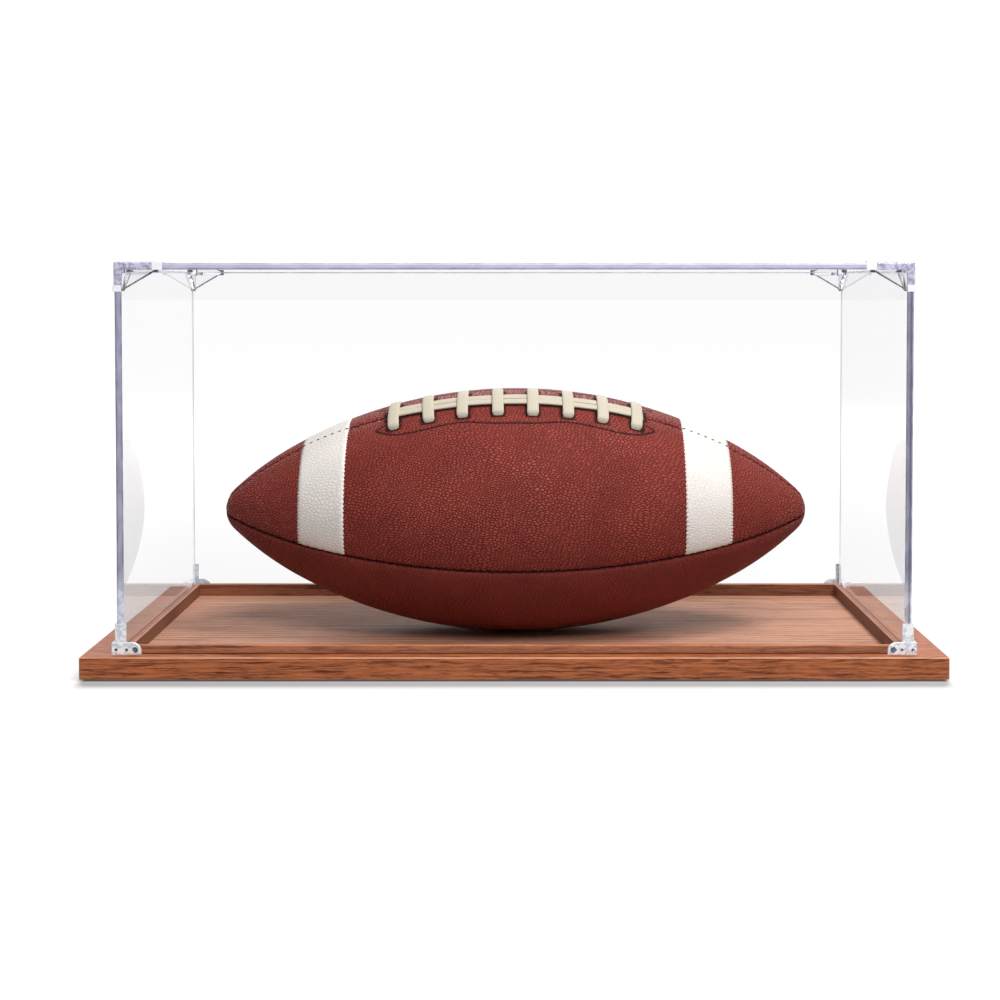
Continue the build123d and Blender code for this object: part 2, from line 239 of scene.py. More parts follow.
class EffectGroup:
    """A shader node group with named inputs and outputs, built once and used by many finishes."""

    def __init__(self, name: str, inputs: dict[str, tuple[str, Any]], outputs: dict[str, str]) -> None:
        """Make the empty group.

        Args:
            name: The group's name.
            inputs: Each input's name with its socket type and default.
            outputs: Each output's name with its socket type.
        """
        self.tree = bpy.data.node_groups.new(name, "ShaderNodeTree")
        for label, (kind, default) in inputs.items():
            socket = self.tree.interface.new_socket(label, in_out="INPUT", socket_type=kind)
            if default is not None:
                socket.default_value = default
        for label, kind in outputs.items():
            self.tree.interface.new_socket(label, in_out="OUTPUT", socket_type=kind)
        self.graph = Graph(self.tree)
        self.given = self.graph.add("NodeGroupInput").outputs
        self.result = self.graph.add("NodeGroupOutput").inputs

    def put(self, label: str, value: Any) -> None:
        """Send a value to one of the group's outputs."""
        self.graph.feed(self.result[label], value)

    def use(self, graph: Graph, **values: Any) -> Outputs:
        """Place the group in a material.

        Args:
            graph: The material's node tree.
            values: The group's inputs by name, with underscores for spaces.

        Returns:
            The placed group's outputs.
        """
        node = graph.add("ShaderNodeGroup", node_tree=self.tree)
        for name, value in values.items():
            graph.feed(node.inputs[name.replace("_", " ")], value)
        return node.outputs


FLOAT = "NodeSocketFloat"
VECTOR = "NodeSocketVector"
COLOR = "NodeSocketColor"


# How often streaks, fibres and pores come per metre, along and across the grain, and the noise
# levels between which a streak and a pore fade in.
STREAKS, STREAK_FADE = (24.0, 620.0, 620.0), (0.40, 0.72)
FIBRES = (60.0, 1900.0, 1900.0)
PORES, PORE_FADE = (150.0, 2400.0, 2400.0), (0.64, 0.74)
# The pattern of the year rings, drawn out along the grain, and the fine ripple across it in metres.
DRAWN_OUT = (0.07, 1.0, 1.0)
RIPPLE = (0.0, 0.0024, 0.0024)
# How much year rings, fibres, patches and pores darken the wood.
RING_SHARE, FIBRE_SHARE, PATCH_SHARE, PORE_SHARE = 0.42, 0.5, 0.4, 0.5


def grain_effect() -> EffectGroup:
    """Build wood grain that runs along X: year rings, streaks, fibres and pores.

    Returns:
        The group, with Color, Gloss and Height outputs.
    """
    inputs = {
        "Vector": (VECTOR, None),
        "Pale": (COLOR, (0.5, 0.3, 0.2, 1)),
        "Dark": (COLOR, (0.2, 0.1, 0.05, 1)),
        "Ring Pitch": (FLOAT, 0.004),
        "Wander": (FLOAT, 0.006),
        "Streak": (FLOAT, 0.5),
        "Fineness": (FLOAT, 1.0),
        "Shortness": (FLOAT, 1.0),
    }
    group = EffectGroup("Wood grain", inputs, {"Color": COLOR, "Gloss": FLOAT, "Height": FLOAT})
    g, given = group.graph, group.given
    drawn_out = g.vector("MULTIPLY", given["Vector"], DRAWN_OUT)
    wander = g.scale(g.drift(drawn_out, 26.0, 3.0), given["Wander"])
    across = g.vector("MULTIPLY", g.vector("ADD", drawn_out, wander), (0.0, 1.0, 1.0))
    turns = g.math("DIVIDE", g.length(across), given["Ring Pitch"])
    ring = g.math("POWER", g.math("FRACT", turns), 2.2)
    closer = g.combine(given["Shortness"], given["Fineness"], given["Fineness"])
    ripple = g.drift(given["Vector"], 60.0, 2.0)
    rippled = g.vector("MULTIPLY_ADD", ripple, RIPPLE, given["Vector"])
    fine = g.vector("MULTIPLY", rippled, closer)
    streak = g.span(g.noise(g.vector("MULTIPLY", fine, STREAKS), 1.0, 3.0, 0.55), *STREAK_FADE)
    fibre = g.noise(g.vector("MULTIPLY", fine, FIBRES), 1.0, 2.0)
    pore = g.span(g.noise(g.vector("MULTIPLY", fine, PORES), 1.0, 1.0), *PORE_FADE)
    patch = g.noise(given["Vector"], 14.0, 2.0)
    toned = g.math("MULTIPLY", ring, RING_SHARE)
    toned = g.math("MULTIPLY_ADD", streak, given["Streak"], toned)
    toned = g.math("MULTIPLY_ADD", g.math("SUBTRACT", fibre, 0.5), FIBRE_SHARE, toned)
    patched = g.math("SUBTRACT", patch, 0.5)
    toned = g.math("MULTIPLY_ADD", patched, PATCH_SHARE, toned, clamp=True)
    body = g.mix(toned, given["Pale"], given["Dark"])
    pit = g.mix(0.5, given["Dark"], (0.02, 0.01, 0.005, 1))
    group.put("Color", g.mix(g.math("MULTIPLY", pore, PORE_SHARE), body, pit))
    group.put("Gloss", g.math("MULTIPLY_ADD", pore, 0.5, g.math("MULTIPLY", fibre, 0.5)))
    group.put("Height", g.math("SUBTRACT", g.math("MULTIPLY", fibre, 0.35), pore))
    return group


# An edge is worn and carries a painted highlight where no part of its normal is larger than
# these, from fully to not at all.
LEAN_FADE = (0.80, 0.985)


def edge_effect() -> EffectGroup:
    """Build worn, painted-highlit edges: a mask strong where a face leans between the three axes.

    Returns:
        The group, with a Mask output from 0 to 1.
    """
    group = EffectGroup("Worn edges with painted highlight", {"Vector": (VECTOR, None)}, {"Mask": FLOAT})
    g, given = group.graph, group.given
    facing = g.vector("ABSOLUTE", g.add("ShaderNodeNewGeometry").outputs["True Normal"])
    x, y, z = g.split(facing)
    flat = g.math("MAXIMUM", g.math("MAXIMUM", x, y), z)
    patchy = g.span(g.noise(given["Vector"], 60.0, 3.0), 0.3, 0.6, 0.5, 1.0)
    group.put("Mask", g.math("MULTIPLY", g.span(flat, *LEAN_FADE, 1.0, 0.0), patchy))
    return group


# How far a pebble's shoulder reaches in from the crease, as a share of the pebble.
PEBBLE_SHOULDER = 0.42
# How far rows of pebbles sway and each pebble bends, in metres, then their turn and their stretch.
ROW_SWAY = (0.016, 0.016, 0.0)
PEBBLE_BEND = (0.0008, 0.0008, 0.0)
ROW_TURN = (0.0, 0.0, 0.35)
PEBBLE_STRETCH = (0.76, 1.22, 1.0)


def hide_effect() -> EffectGroup:
    """Build pebbled hide: rounded pebbles with creases between them.

    Returns:
        The group, with Height, Crease and Mottle outputs.
    """
    inputs = {"Vector": (VECTOR, None), "Pebble": (FLOAT, 0.0016)}
    group = EffectGroup("Pebbled hide", inputs, {"Height": FLOAT, "Crease": FLOAT, "Mottle": FLOAT})
    g, given = group.graph, group.given
    flow = g.drift(given["Vector"], 26.0, 1.0)
    drawn = g.vector("MULTIPLY_ADD", flow, ROW_SWAY, given["Vector"])
    turned = g.add("ShaderNodeMapping", {"Vector": drawn, "Rotation": ROW_TURN}).outputs[0]
    drawn = g.vector("MULTIPLY", turned, PEBBLE_STRETCH)
    bend = g.drift(given["Vector"], 560.0, 1.0)
    bent = g.vector("MULTIPLY_ADD", bend, PEBBLE_BEND, drawn)
    cells = {"Vector": bent, "Scale": g.math("DIVIDE", 1.0, given["Pebble"]), "Randomness": 0.8}
    voronoi = g.add("ShaderNodeTexVoronoi", cells, feature="DISTANCE_TO_EDGE", voronoi_dimensions="2D")
    edge = voronoi.outputs["Distance"]
    rise = g.span(edge, 0.0, PEBBLE_SHOULDER)
    swell = g.noise(given["Vector"], 700.0, 2.0)
    pores = g.noise(given["Vector"], 4200.0, 2.0)
    height = g.math("MULTIPLY_ADD", swell, 0.3, rise)
    group.put("Height", g.math("MULTIPLY_ADD", pores, 0.08, height))
    # The hide finishes paint this crease mask darker, as painted shade.
    group.put("Crease", g.math("POWER", g.span(edge, 0.0, PEBBLE_SHOULDER, 1.0, 0.0), 1.3))
    group.put("Mottle", g.noise(given["Vector"], 32.0, 3.0, 0.6))
    return group


# Scratches to a smear, each way.
SCRATCHES = (6.0, 70.0, 35.0)


def scuff_effect() -> EffectGroup:
    """Build faint handling marks: soft smears with fine scratches in them.

    Returns:
        The group, with a Mask output from 0 to 1.
    """
    inputs = {"Vector": (VECTOR, None), "Size": (FLOAT, 20.0)}
    group = EffectGroup("Handling marks", inputs, {"Mask": FLOAT})
    g, given = group.graph, group.given
    scaled = g.scale(given["Vector"], given["Size"])
    smear = g.span(g.noise(scaled, 1.0, 4.0, 0.65), 0.45, 0.75)
    lines = g.vector("MULTIPLY", scaled, SCRATCHES)
    scratch = g.span(g.noise(lines, 1.0, 1.0), 0.62, 0.72)
    group.put("Mask", g.math("MULTIPLY", smear, g.math("MULTIPLY_ADD", scratch, 0.6, 0.4)))
    return group


def weave_effect() -> EffectGroup:
    """Build a fine diagonal weave.

    Returns:
        The group, with Height and Shade outputs.
    """
    inputs = {"Vector": (VECTOR, None), "Pitch": (FLOAT, 0.0008)}
    group = EffectGroup("Cord weave", inputs, {"Height": FLOAT, "Shade": FLOAT})
    g, given = group.graph, group.given
    x, y, _ = g.split(given["Vector"])
    turn = g.math("DIVIDE", 2 * math.pi, given["Pitch"])
    rising = g.math("MULTIPLY", g.math("ADD", x, y), turn)
    falling = g.math("MULTIPLY", g.math("SUBTRACT", x, y), turn)
    woven = g.math("MULTIPLY", g.math("SINE", rising), g.math("SINE", falling))
    fuzz = g.noise(given["Vector"], 1900.0, 3.0)
    group.put("Height", g.math("MULTIPLY_ADD", fuzz, 0.8, g.math("MULTIPLY", woven, 0.5)))
    group.put("Shade", g.math("MULTIPLY_ADD", woven, 0.12, g.math("MULTIPLY", fuzz, 0.88)))
    return group


@dataclass(frozen=True)
class Effects:
    """The shared effects, each built once."""

    grain: EffectGroup
    hide: EffectGroup
    scuff: EffectGroup
    weave: EffectGroup
    edges: EffectGroup

    @staticmethod
    def build() -> "Effects":
        """Build every effect group."""
        return Effects(grain_effect(), hide_effect(), scuff_effect(), weave_effect(), edge_effect())


# Finishes


def blank_material(name: str, **constants: Any) -> tuple[Material, Graph, Node, NodeSocket]:
    """Make a material with a bare Principled shader.

    Args:
        name: The material's name.
        constants: Values of the shader's sockets by name, with underscores for spaces.

    Returns:
        The material, its graph, the shader and the object coordinates.
    """
    material = bpy.data.materials.new(name)
    material.use_nodes = True
    material.node_tree.nodes.clear()
    graph = Graph(material.node_tree)
    shader = graph.add("ShaderNodeBsdfPrincipled")
    for label, value in constants.items():
        shader.inputs[label.replace("_", " ")].default_value = value
    surface = graph.add("ShaderNodeOutputMaterial")
    graph.feed(surface.inputs["Surface"], shader.outputs[0])
    place = graph.add("ShaderNodeTexCoord").outputs["Object"]
    return material, graph, shader, place


@dataclass(frozen=True)
class WoodFinish:
    """Satin varnished wood with its grain along X.

    Attributes:
        heart: Where the tree's middle lies from the piece.
        ring_pitch, streak: Spacing of the year rings, strength of the dark streaks.
        fineness, shortness: How close streaks and pores lie across and along the grain.
        gloss, wear: Strength of the varnish's shine and of the lighter edges, which are partly
        worn and partly a painted highlight.
        upright_painted_shade: Painted shade on upright faces: their tone beside that of level ones.
        edge_highlight_and_wear_tone: Tone of the edges, partly worn and partly a painted highlight.
        relief: Depth of the open grain.
    """

    name: str
    pale: Color
    dark: Color
    heart: Place
    ring_pitch: float = 3.2 * MM
    streak: float = 0.55
    fineness: float = 1.5
    shortness: float = 2.2
    roughness: float = 0.30
    gloss: float = 0.3
    wear_and_highlight: float = 0.5
    upright_painted_shade: float = 1.0
    edge_highlight_and_wear_tone: Color = srgb(214, 160, 128)
    relief: float = 0.06 * MM

    def build(self, effects: Effects) -> Material:
        """Make the material from the grain, the marks, painted edge highlights and painted shade."""
        material, g, shader, place = blank_material(self.name, Specular_IOR_Level=self.gloss)
        moved = g.add("ShaderNodeMapping", {"Vector": place, "Location": self.heart})
        grain = effects.grain.use(
            g, Vector=moved.outputs[0], Pale=self.pale, Dark=self.dark, Ring_Pitch=self.ring_pitch,
            Streak=self.streak, Fineness=self.fineness, Shortness=self.shortness,
        )
        marks = effects.scuff.use(g, Vector=place, Size=MARK_SIZES["wood"])["Mask"]
        # Edges are painted lighter: partly worn, partly a painted highlight.
        worn = g.math("MULTIPLY", effects.edges.use(g, Vector=place)["Mask"], self.wear_and_highlight)
        # Painted shade: upright faces are toned darker than level ones.
        upward = g.split(g.add("ShaderNodeNewGeometry").outputs["True Normal"])[2]
        lit = g.span(upward, 0.2, 0.8, self.upright_painted_shade, 1.0)
        toned = g.mix(1.0, grain["Color"], g.combine(lit, lit, lit), "MULTIPLY")
        g.feed(shader.inputs["Base Color"], g.mix(worn, toned, self.edge_highlight_and_wear_tone))
        rough = g.math("MULTIPLY_ADD", grain["Gloss"], 0.16, self.roughness)
        g.feed(shader.inputs["Roughness"], g.math("MULTIPLY_ADD", marks, 0.14, rough))
        g.bump(shader, grain["Height"], self.relief, 0.8)
        return material


@dataclass(frozen=True)
class ClearFinish:
    """Polished clear plastic that lets the lamps' light through.

    Attributes:
        mirror: Strength of the faces' reflection.
        marks: How much handling marks roughen it.
        clearness: Share of the light that goes through.
        waver: Depth of the moulded face's ripples.
        shade, blotch: A second tone and how many patches of it come per metre.
        dust: Strength of the haze seen at a low angle.
    """

    name: str
    tint: Color
    mirror: float = 1.0
    roughness: float = 0.0
    marks: float = 0.03
    clearness: float = 1.0
    waver: float = 0.0
    shade: Color | None = None
    blotch: float = 620.0
    dust: float = 0.0

    def build(self, effects: Effects) -> Material:
        """Make the material, with faint marks in its gloss."""
        material, g, shader, place = blank_material(
            self.name, Base_Color=self.tint, Specular_Tint=(self.mirror, self.mirror, self.mirror, 1),
            IOR=ACRYLIC_IOR, Transmission_Weight=self.clearness, Sheen_Weight=self.dust,
            Sheen_Roughness=0.3,
        )
        if self.shade is not None:
            mottle = g.noise(place, self.blotch, 2.0, 0.6)
            g.feed(shader.inputs["Base Color"], g.mix(g.span(mottle, 0.42, 0.6), self.tint, self.shade))
        marks = effects.scuff.use(g, Vector=place, Size=MARK_SIZES["clear"])["Mask"]
        g.feed(shader.inputs["Roughness"], g.math("MULTIPLY_ADD", marks, self.marks, self.roughness))
        if self.waver > 0:
            g.bump(shader, g.noise(place, 900.0, 3.0, 0.6), self.waver)
        self.let_lamps_through(g, shader)
        return material

    @staticmethod
    def let_lamps_through(g: Graph, shader: Node) -> None:
        """Put a clear shader in for rays that go to a lamp, leave a dull surface or are mirrored.

        Args:
            g: The material's graph.
            shader: The shader that all other rays meet.
        """
        path = g.add("ShaderNodeLightPath").outputs
        mirrored = g.math("MULTIPLY", path["Is Glossy Ray"], path["Is Reflection Ray"])
        bounced = g.math("MAXIMUM", path["Is Diffuse Ray"], mirrored)
        rays = g.math("MAXIMUM", path["Is Shadow Ray"], bounced)
        clear = g.add("ShaderNodeBsdfTransparent", {"Color": (0.96, 0.96, 0.97, 1)})
        both = g.add("ShaderNodeMixShader", {0: rays, 1: shader.outputs[0], 2: clear.outputs[0]})
        output = next(n for n in g.tree.nodes if n.type == "OUTPUT_MATERIAL")
        g.feed(output.inputs["Surface"], both.outputs[0])


@dataclass(frozen=True)
class CutEdgeFinish:
    """The cut edge of a clear sheet, seen end on: lavender grey, with two lines of painted shade.

    Attributes:
        pale_from, pale_to: Heights between which an upright edge turns paler and whiter towards its foot.
    """

    name: str
    line: Color = srgb(118, 118, 140)
    middle: Color = srgb(160, 159, 184)
    haze: Color = srgb(214, 213, 232)
    foot_pale_tone: Color = srgb(236, 239, 249)
    roughness: float = 0.25
    pale_from: float = 52.0 * MM
    pale_to: float = 34.0 * MM

    def build(self, effects: Effects) -> Material:
        """Make the material from the edge's own UV map: V runs across the sheet's thickness.

        Args:
            effects: The shared effects, which every finish is given. A cut edge needs none of them.

        Returns:
            The material.
        """
        material, g, shader, place = blank_material(self.name, IOR=ACRYLIC_IOR)
        along, across, _ = g.split(g.add("ShaderNodeUVMap", uv_map="across").outputs[0])
        off_middle = g.math("ABSOLUTE", g.math("SUBTRACT", across, 0.5))
        # Two darker lines near the sheet's faces: painted shade.
        lines = g.span(off_middle, 0.20, 0.42)
        stretched = g.combine(g.math("MULTIPLY", along, 260.0), g.math("MULTIPLY", across, 2.2))
        patches = g.span(g.noise(stretched, 0.35, 3.0, 0.6), 0.35, 0.7)
        toned = g.mix(lines, self.middle, self.line)
        pale = g.mix(g.math("MULTIPLY", patches, 0.45), toned, self.haze)
        # Upright edges turn paler and whiter towards their foot.
        foot = g.span(g.split(place)[2], self.pale_to, self.pale_from, 1.0, 0.0)
        clouds = g.span(g.noise(place, 210.0, 2.0, 0.6), 0.36, 0.6)
        foot_paleness = g.math("MULTIPLY", foot, g.math("MULTIPLY_ADD", clouds, 0.6, 0.4))
        g.feed(shader.inputs["Base Color"], g.mix(foot_paleness, pale, self.foot_pale_tone))
        saw = g.noise(g.scale(place, 1500.0), 1.0, 1.0)
        g.feed(shader.inputs["Roughness"], g.math("MULTIPLY_ADD", saw, 0.2, self.roughness))
        g.bump(shader, saw, 0.02 * MM, 0.5)
        return material


@dataclass(frozen=True)
class HideFinish:
    """Pebbled leather, with painted shade in the creases.

    Attributes:
        raised, crease, worn: Tones of the pebbles, of the creases' painted shade and of worn pebbles.
        pebble, depth: Width of a pebble and how far it stands up.
        crease_share: How much of the creases' painted shade shows.
        sewn: Whether the seams and the sewn groove get painted shade, and the laces a painted shadow.
        seam_shade_fade, groove_fade, lace_shadow_fade: Distances from a seam, from the sewn line and from
        a lace over which its painted shade fades.
        bank_rise: Distances from the sewn line over which the leather swells up again.
    """

    name: str
    raised: Color
    crease: Color
    worn: Color
    # Tone of the painted shade at the seams and the sewn groove and of the painted shadow by the laces.
    sewn_shade_tone: Color = srgb(34, 12, 10)
    pebble: float = 1.9 * MM
    depth: float = 0.2 * MM
    roughness: float = 0.36
    crease_share: float = 0.8
    sheen: float = 0.4
    sewn: bool = False
    seam_shade_fade: tuple[float, float] = (0.3 * MM, 1.0 * MM)
    groove_fade: tuple[float, float] = (0.25 * MM, 0.8 * MM)
    bank_rise: tuple[float, float] = (0.6 * MM, 2.4 * MM)
    lace_shadow_fade: tuple[float, float] = (0.3 * MM, 1.9 * MM)

    def build(self, effects: Effects) -> Material:
        """Make the material from the hide, the handling marks and the sewn lines."""
        material, g, shader, place = blank_material(self.name, Specular_IOR_Level=self.sheen)
        hide = effects.hide.use(g, Vector=g.stored("hide_at", "Vector"), Pebble=self.pebble)
        marks = effects.scuff.use(g, Vector=place, Size=MARK_SIZES["hide"])["Mask"]
        toned = g.mix(g.span(hide["Mottle"], 0.3, 0.75), self.raised, self.worn)
        # The creases are painted darker: painted shade.
        color = g.mix(g.math("MULTIPLY", hide["Crease"], self.crease_share), toned, self.crease)
        rough = g.math("MULTIPLY_ADD", hide["Crease"], 0.4, self.roughness)
        rough = g.math("MULTIPLY_ADD", marks, 0.12, rough)
        height = hide["Height"]
        if self.sewn:
            # Painted shade in the seams and the sewn groove, and a painted shadow beside the laces.
            line = g.math("ABSOLUTE", g.stored("line_gap"))
            rim = g.span(g.stored("seam_gap"), *self.seam_shade_fade, 1.0, 0.0)
            groove = g.span(line, *self.groove_fade, 1.0, 0.0)
            bank = g.span(line, *self.bank_rise)
            lace_shadow = g.span(g.stored("lace_gap"), *self.lace_shadow_fade, 0.9, 0.0)
            dark = g.math("MAXIMUM", g.math("MULTIPLY", rim, 0.85), g.math("MAXIMUM", groove, lace_shadow))
            color = g.mix(dark, color, self.sewn_shade_tone)
            rough = g.math("MULTIPLY_ADD", dark, 0.3, rough)
            height = g.math("MULTIPLY_ADD", groove, -1.6, g.math("MULTIPLY_ADD", bank, 0.9, height))
        g.feed(shader.inputs["Base Color"], color)
        g.feed(shader.inputs["Roughness"], rough)
        g.bump(shader, height, self.depth)
        return material


@dataclass(frozen=True)
class CordFinish:
    """Coated lace cord or thread with a fine weave.

    Attributes:
        pale, shade: Tones of the weave's tops and hollows.
        pitch, relief: The weave's spacing and depth.
    """

    name: str
    pale: Color
    shade: Color
    pitch: float = 0.9 * MM
    roughness: float = 0.55
    relief: float = 0.05 * MM

    def build(self, effects: Effects) -> Material:
        """Make the material from the weave."""
        material, g, shader, place = blank_material(self.name)
        weave = effects.weave.use(g, Vector=place, Pitch=self.pitch)
        g.feed(shader.inputs["Base Color"], g.mix(weave["Shade"], self.shade, self.pale))
        g.feed(shader.inputs["Roughness"], g.math("MULTIPLY_ADD", weave["Shade"], 0.2, self.roughness))
        g.bump(shader, weave["Height"], self.relief, 0.7)
        return material


@dataclass(frozen=True)
class DullFinish:
    """Felt or rubber: one tone with a fine fleck, and no gloss to speak of."""

    name: str
    tone: Color
    fleck: Color
    fleck_scale: float = 1500.0
    roughness: float = 0.8
    depth: float = 0.08 * MM

    def build(self, effects: Effects) -> Material:
        """Make the material from fine noise and the handling marks."""
        material, g, shader, place = blank_material(self.name)
        fleck = g.noise(place, self.fleck_scale, 3.0, 0.65)
        marks = effects.scuff.use(g, Vector=place, Size=MARK_SIZES["dull"])["Mask"]
        g.feed(shader.inputs["Base Color"], g.mix(g.span(fleck, 0.35, 0.7), self.tone, self.fleck))
        g.feed(shader.inputs["Roughness"], g.math("MULTIPLY_ADD", marks, 0.1, self.roughness))
        g.bump(shader, fleck, self.depth, 0.6)
        return material


class Finish(Enum):
    """Every finish on the case."""

    SLAB = WoodFinish(
        "Slab wood", srgb(184, 105, 62), srgb(78, 29, 10), (0.02, 0.0, 0.09), 1.5 * MM, streak=0.8,
        fineness=1.8, shortness=2.6, roughness=0.42, wear_and_highlight=1.0,
    )
    FLOOR = WoodFinish(
        "Floor wood", srgb(204, 150, 121), srgb(106, 62, 46), (0.1, 0.21, 0.03), 5.0 * MM, streak=0.4,
        fineness=0.4, shortness=0.8, roughness=0.62, gloss=0.2, wear_and_highlight=0.3,
    )
    # Rear and side rims: the rim wood painted darker, as in shade.
    RIM = WoodFinish(
        "Rim wood in painted shade", srgb(176, 110, 78), srgb(78, 36, 20), (0.03, 0.3, -0.08), streak=0.6, roughness=0.5,
        wear_and_highlight=0.8, upright_painted_shade=0.68,
    )
    # Front rim: the same rim wood painted lighter, as lit.
    LIT_FRONT_RIM = WoodFinish(
        "Front rim wood in painted light", srgb(196, 124, 88), srgb(90, 38, 18), (0.07, 0.2, -0.05), streak=0.6,
        roughness=0.5, wear_and_highlight=0.0, upright_painted_shade=0.95,
    )
    FELT = DullFinish("Pad felt", srgb(52, 50, 48), srgb(84, 80, 76), 1500.0, 0.95, 0.15 * MM)
    SHEET = ClearFinish("Clear sheet", (0.964, 0.966, 0.964, 1), mirror=0.0)
    SIDE_SHEET = ClearFinish("Clear side sheet", (0.99, 0.99, 0.99, 1), dust=0.25)
    EDGE = CutEdgeFinish("Cut sheet edge")
    # Top sheet's cut edges: the same edge painted lighter, as lit.
    LIT_TOP_EDGE = CutEdgeFinish("Cut top edge in painted light", srgb(142, 141, 166), srgb(186, 185, 208))
    # Lower edges of the sheets: painted brown with the wood seen in them and the shade where they sit.
    SHADED_SEAT_EDGE = DullFinish("Seated edge in painted shade and wood reflection", srgb(96, 52, 32), srgb(118, 68, 44), 700.0, 0.9, 0.02 * MM)
    SLEEVE = ClearFinish(
        "Clear sleeve", srgb(214, 213, 232), roughness=0.06, clearness=0.35, waver=0.1 * MM,
        shade=srgb(164, 162, 188),
    )
    GUSSET = ClearFinish("Clear gusset", (0.97, 0.97, 0.985, 1), 0.3, roughness=0.04, clearness=0.92)
    FOOT = ClearFinish(
        "Clear foot", (0.985, 0.99, 1.0, 1), roughness=0.06, clearness=0.2, waver=0.1 * MM,
        shade=srgb(206, 214, 228), blotch=420.0,
    )
    # Eased edges of the feet: painted white, as a highlight.
    HIGHLIT_FOOT_RIM = ClearFinish("Foot rim in painted highlight", (0.98, 0.98, 0.99, 1), roughness=0.2, clearness=0.0)
    # White collars at the connector arms' ends: a painted highlight.
    HIGHLIT_COLLAR = ClearFinish("Collar in painted highlight", (1.0, 1.0, 1.0, 1), roughness=0.25, clearness=0.15)
    GUSSET_EDGE = DullFinish(
        "Gusset edge", srgb(112, 112, 122), srgb(150, 150, 164), 700.0, 0.3, 0.02 * MM
    )
    HOLE = DullFinish("Hole shade", srgb(92, 104, 124), srgb(128, 138, 158), 900.0, 0.25, 0.02 * MM)
    LEATHER = HideFinish(
        "Pebbled leather", srgb(164, 65, 53), srgb(54, 12, 9), srgb(146, 54, 44), sheen=0.2,
        roughness=0.34, pebble=1.4 * MM, depth=0.25 * MM, crease_share=0.75, sewn=True,
    )
    # Lower panels: the same leather painted darker and flatter, as in shade.
    SHADED_LOWER_LEATHER = HideFinish(
        "Lower leather in painted shade", srgb(140, 58, 49), srgb(66, 18, 14), srgb(124, 48, 41), sheen=0.2,
        roughness=0.45, pebble=1.3 * MM, depth=0.08 * MM, crease_share=0.5, sewn=True,
    )
    BAND = HideFinish(
        "White band", srgb(248, 241, 234), srgb(206, 198, 190), srgb(238, 231, 223), depth=0.1 * MM,
        crease_share=0.4,
    )
    LACE = CordFinish("Ivory lace", srgb(222, 214, 194), srgb(184, 173, 151))
    THREAD = CordFinish("Outline thread", srgb(64, 24, 18), srgb(34, 12, 10), 0.5 * MM)
    DARK_THREAD = CordFinish("Band thread", srgb(96, 88, 84), srgb(58, 50, 48), 0.5 * MM)
    BLADDER = DullFinish("Bladder rubber", srgb(30, 30, 30), srgb(40, 40, 40), 700.0, 0.55)
    VALVE = DullFinish("Valve rubber", srgb(24, 24, 24), srgb(36, 36, 36), 900.0, 0.5)


class Wardrobe:
    """Builds each finish the first time that it is asked for."""

    def __init__(self) -> None:
        """Build the shared effects."""
        self.effects = Effects.build()
        self.made: dict[Finish, Material] = {}

    def get(self, finish: Finish) -> Material:
        """Give the finish's material, built once."""
        if finish not in self.made:
            self.made[finish] = finish.value.build(self.effects)
        return self.made[finish]

    def dress(self, obj: Object, *finishes: Finish) -> None:
        """Give an object its finishes, in the order of its material slots.

        Args:
            obj: The piece or CAD node.
            finishes: Its finishes.
        """
        obj.data.materials.clear()
        for finish in finishes:
            obj.data.materials.append(self.get(finish))


# Mesh tools

# Points nearer than this, in metres, become one: in built meshes, then in copies of CAD nodes.
MERGE = 1e-6
WELD = 2e-6
# Angles between faces, in degrees: flat up to the first, shaded apart from the second, sharp from
# the third, and still sharp once some edges have been rounded from the fourth.
FLAT_UP_TO = 0.6
SHADED_APART = 42.0
SHARP_FROM = 35.0
STILL_SHARP_FROM = 60.0


def add_object(name: str, mesh: Mesh) -> Object:
    """Put a mesh into the scene as an object at the origin."""
    obj = bpy.data.objects.new(name, mesh)
    bpy.context.scene.collection.objects.link(obj)
    return obj


def smooth(mesh: Mesh) -> None:
    """Shade every face smooth."""
    mesh.polygons.foreach_set("use_smooth", [True] * len(mesh.polygons))


def mesh_object(name: str, points: Sequence[Vector], faces: Sequence[Sequence[int]]) -> Object:
    """Make a smooth mesh from points and faces, with doubles merged and faces turned outwards.

    Args:
        name: The object's name.
        points: The corners, in metres.
        faces: Indices of each face's corners.

    Returns:
        The new object.
    """
    mesh = bpy.data.meshes.new(name)
    mesh.from_pydata([tuple(p) for p in points], [], [tuple(f) for f in faces])
    work = bmesh.new()
    work.from_mesh(mesh)
    bmesh.ops.remove_doubles(work, verts=work.verts, dist=MERGE)
    bmesh.ops.dissolve_degenerate(work, edges=work.edges, dist=MERGE)
    bmesh.ops.recalc_face_normals(work, faces=work.faces)
    work.to_mesh(mesh)
    work.free()
    smooth(mesh)
    return add_object(name, mesh)


def tube(name: str, rings: Sequence[Sequence[Vector]]) -> Object:
    """Skin rings of points in order and close both ends.

    Args:
        name: The object's name.
        rings: The rings, each with the same number of points.

    Returns:
        The new object.
    """
    around, last = len(rings[0]), (len(rings) - 1) * len(rings[0])
    faces = [
        (start + k, start + (k + 1) % around, start + around + (k + 1) % around, start + around + k)
        for start in range(0, last, around)
        for k in range(around)
    ]
    faces += [tuple(range(around)), tuple(last + k for k in range(around))]
    return mesh_object(name, [point for ring in rings for point in ring], faces)


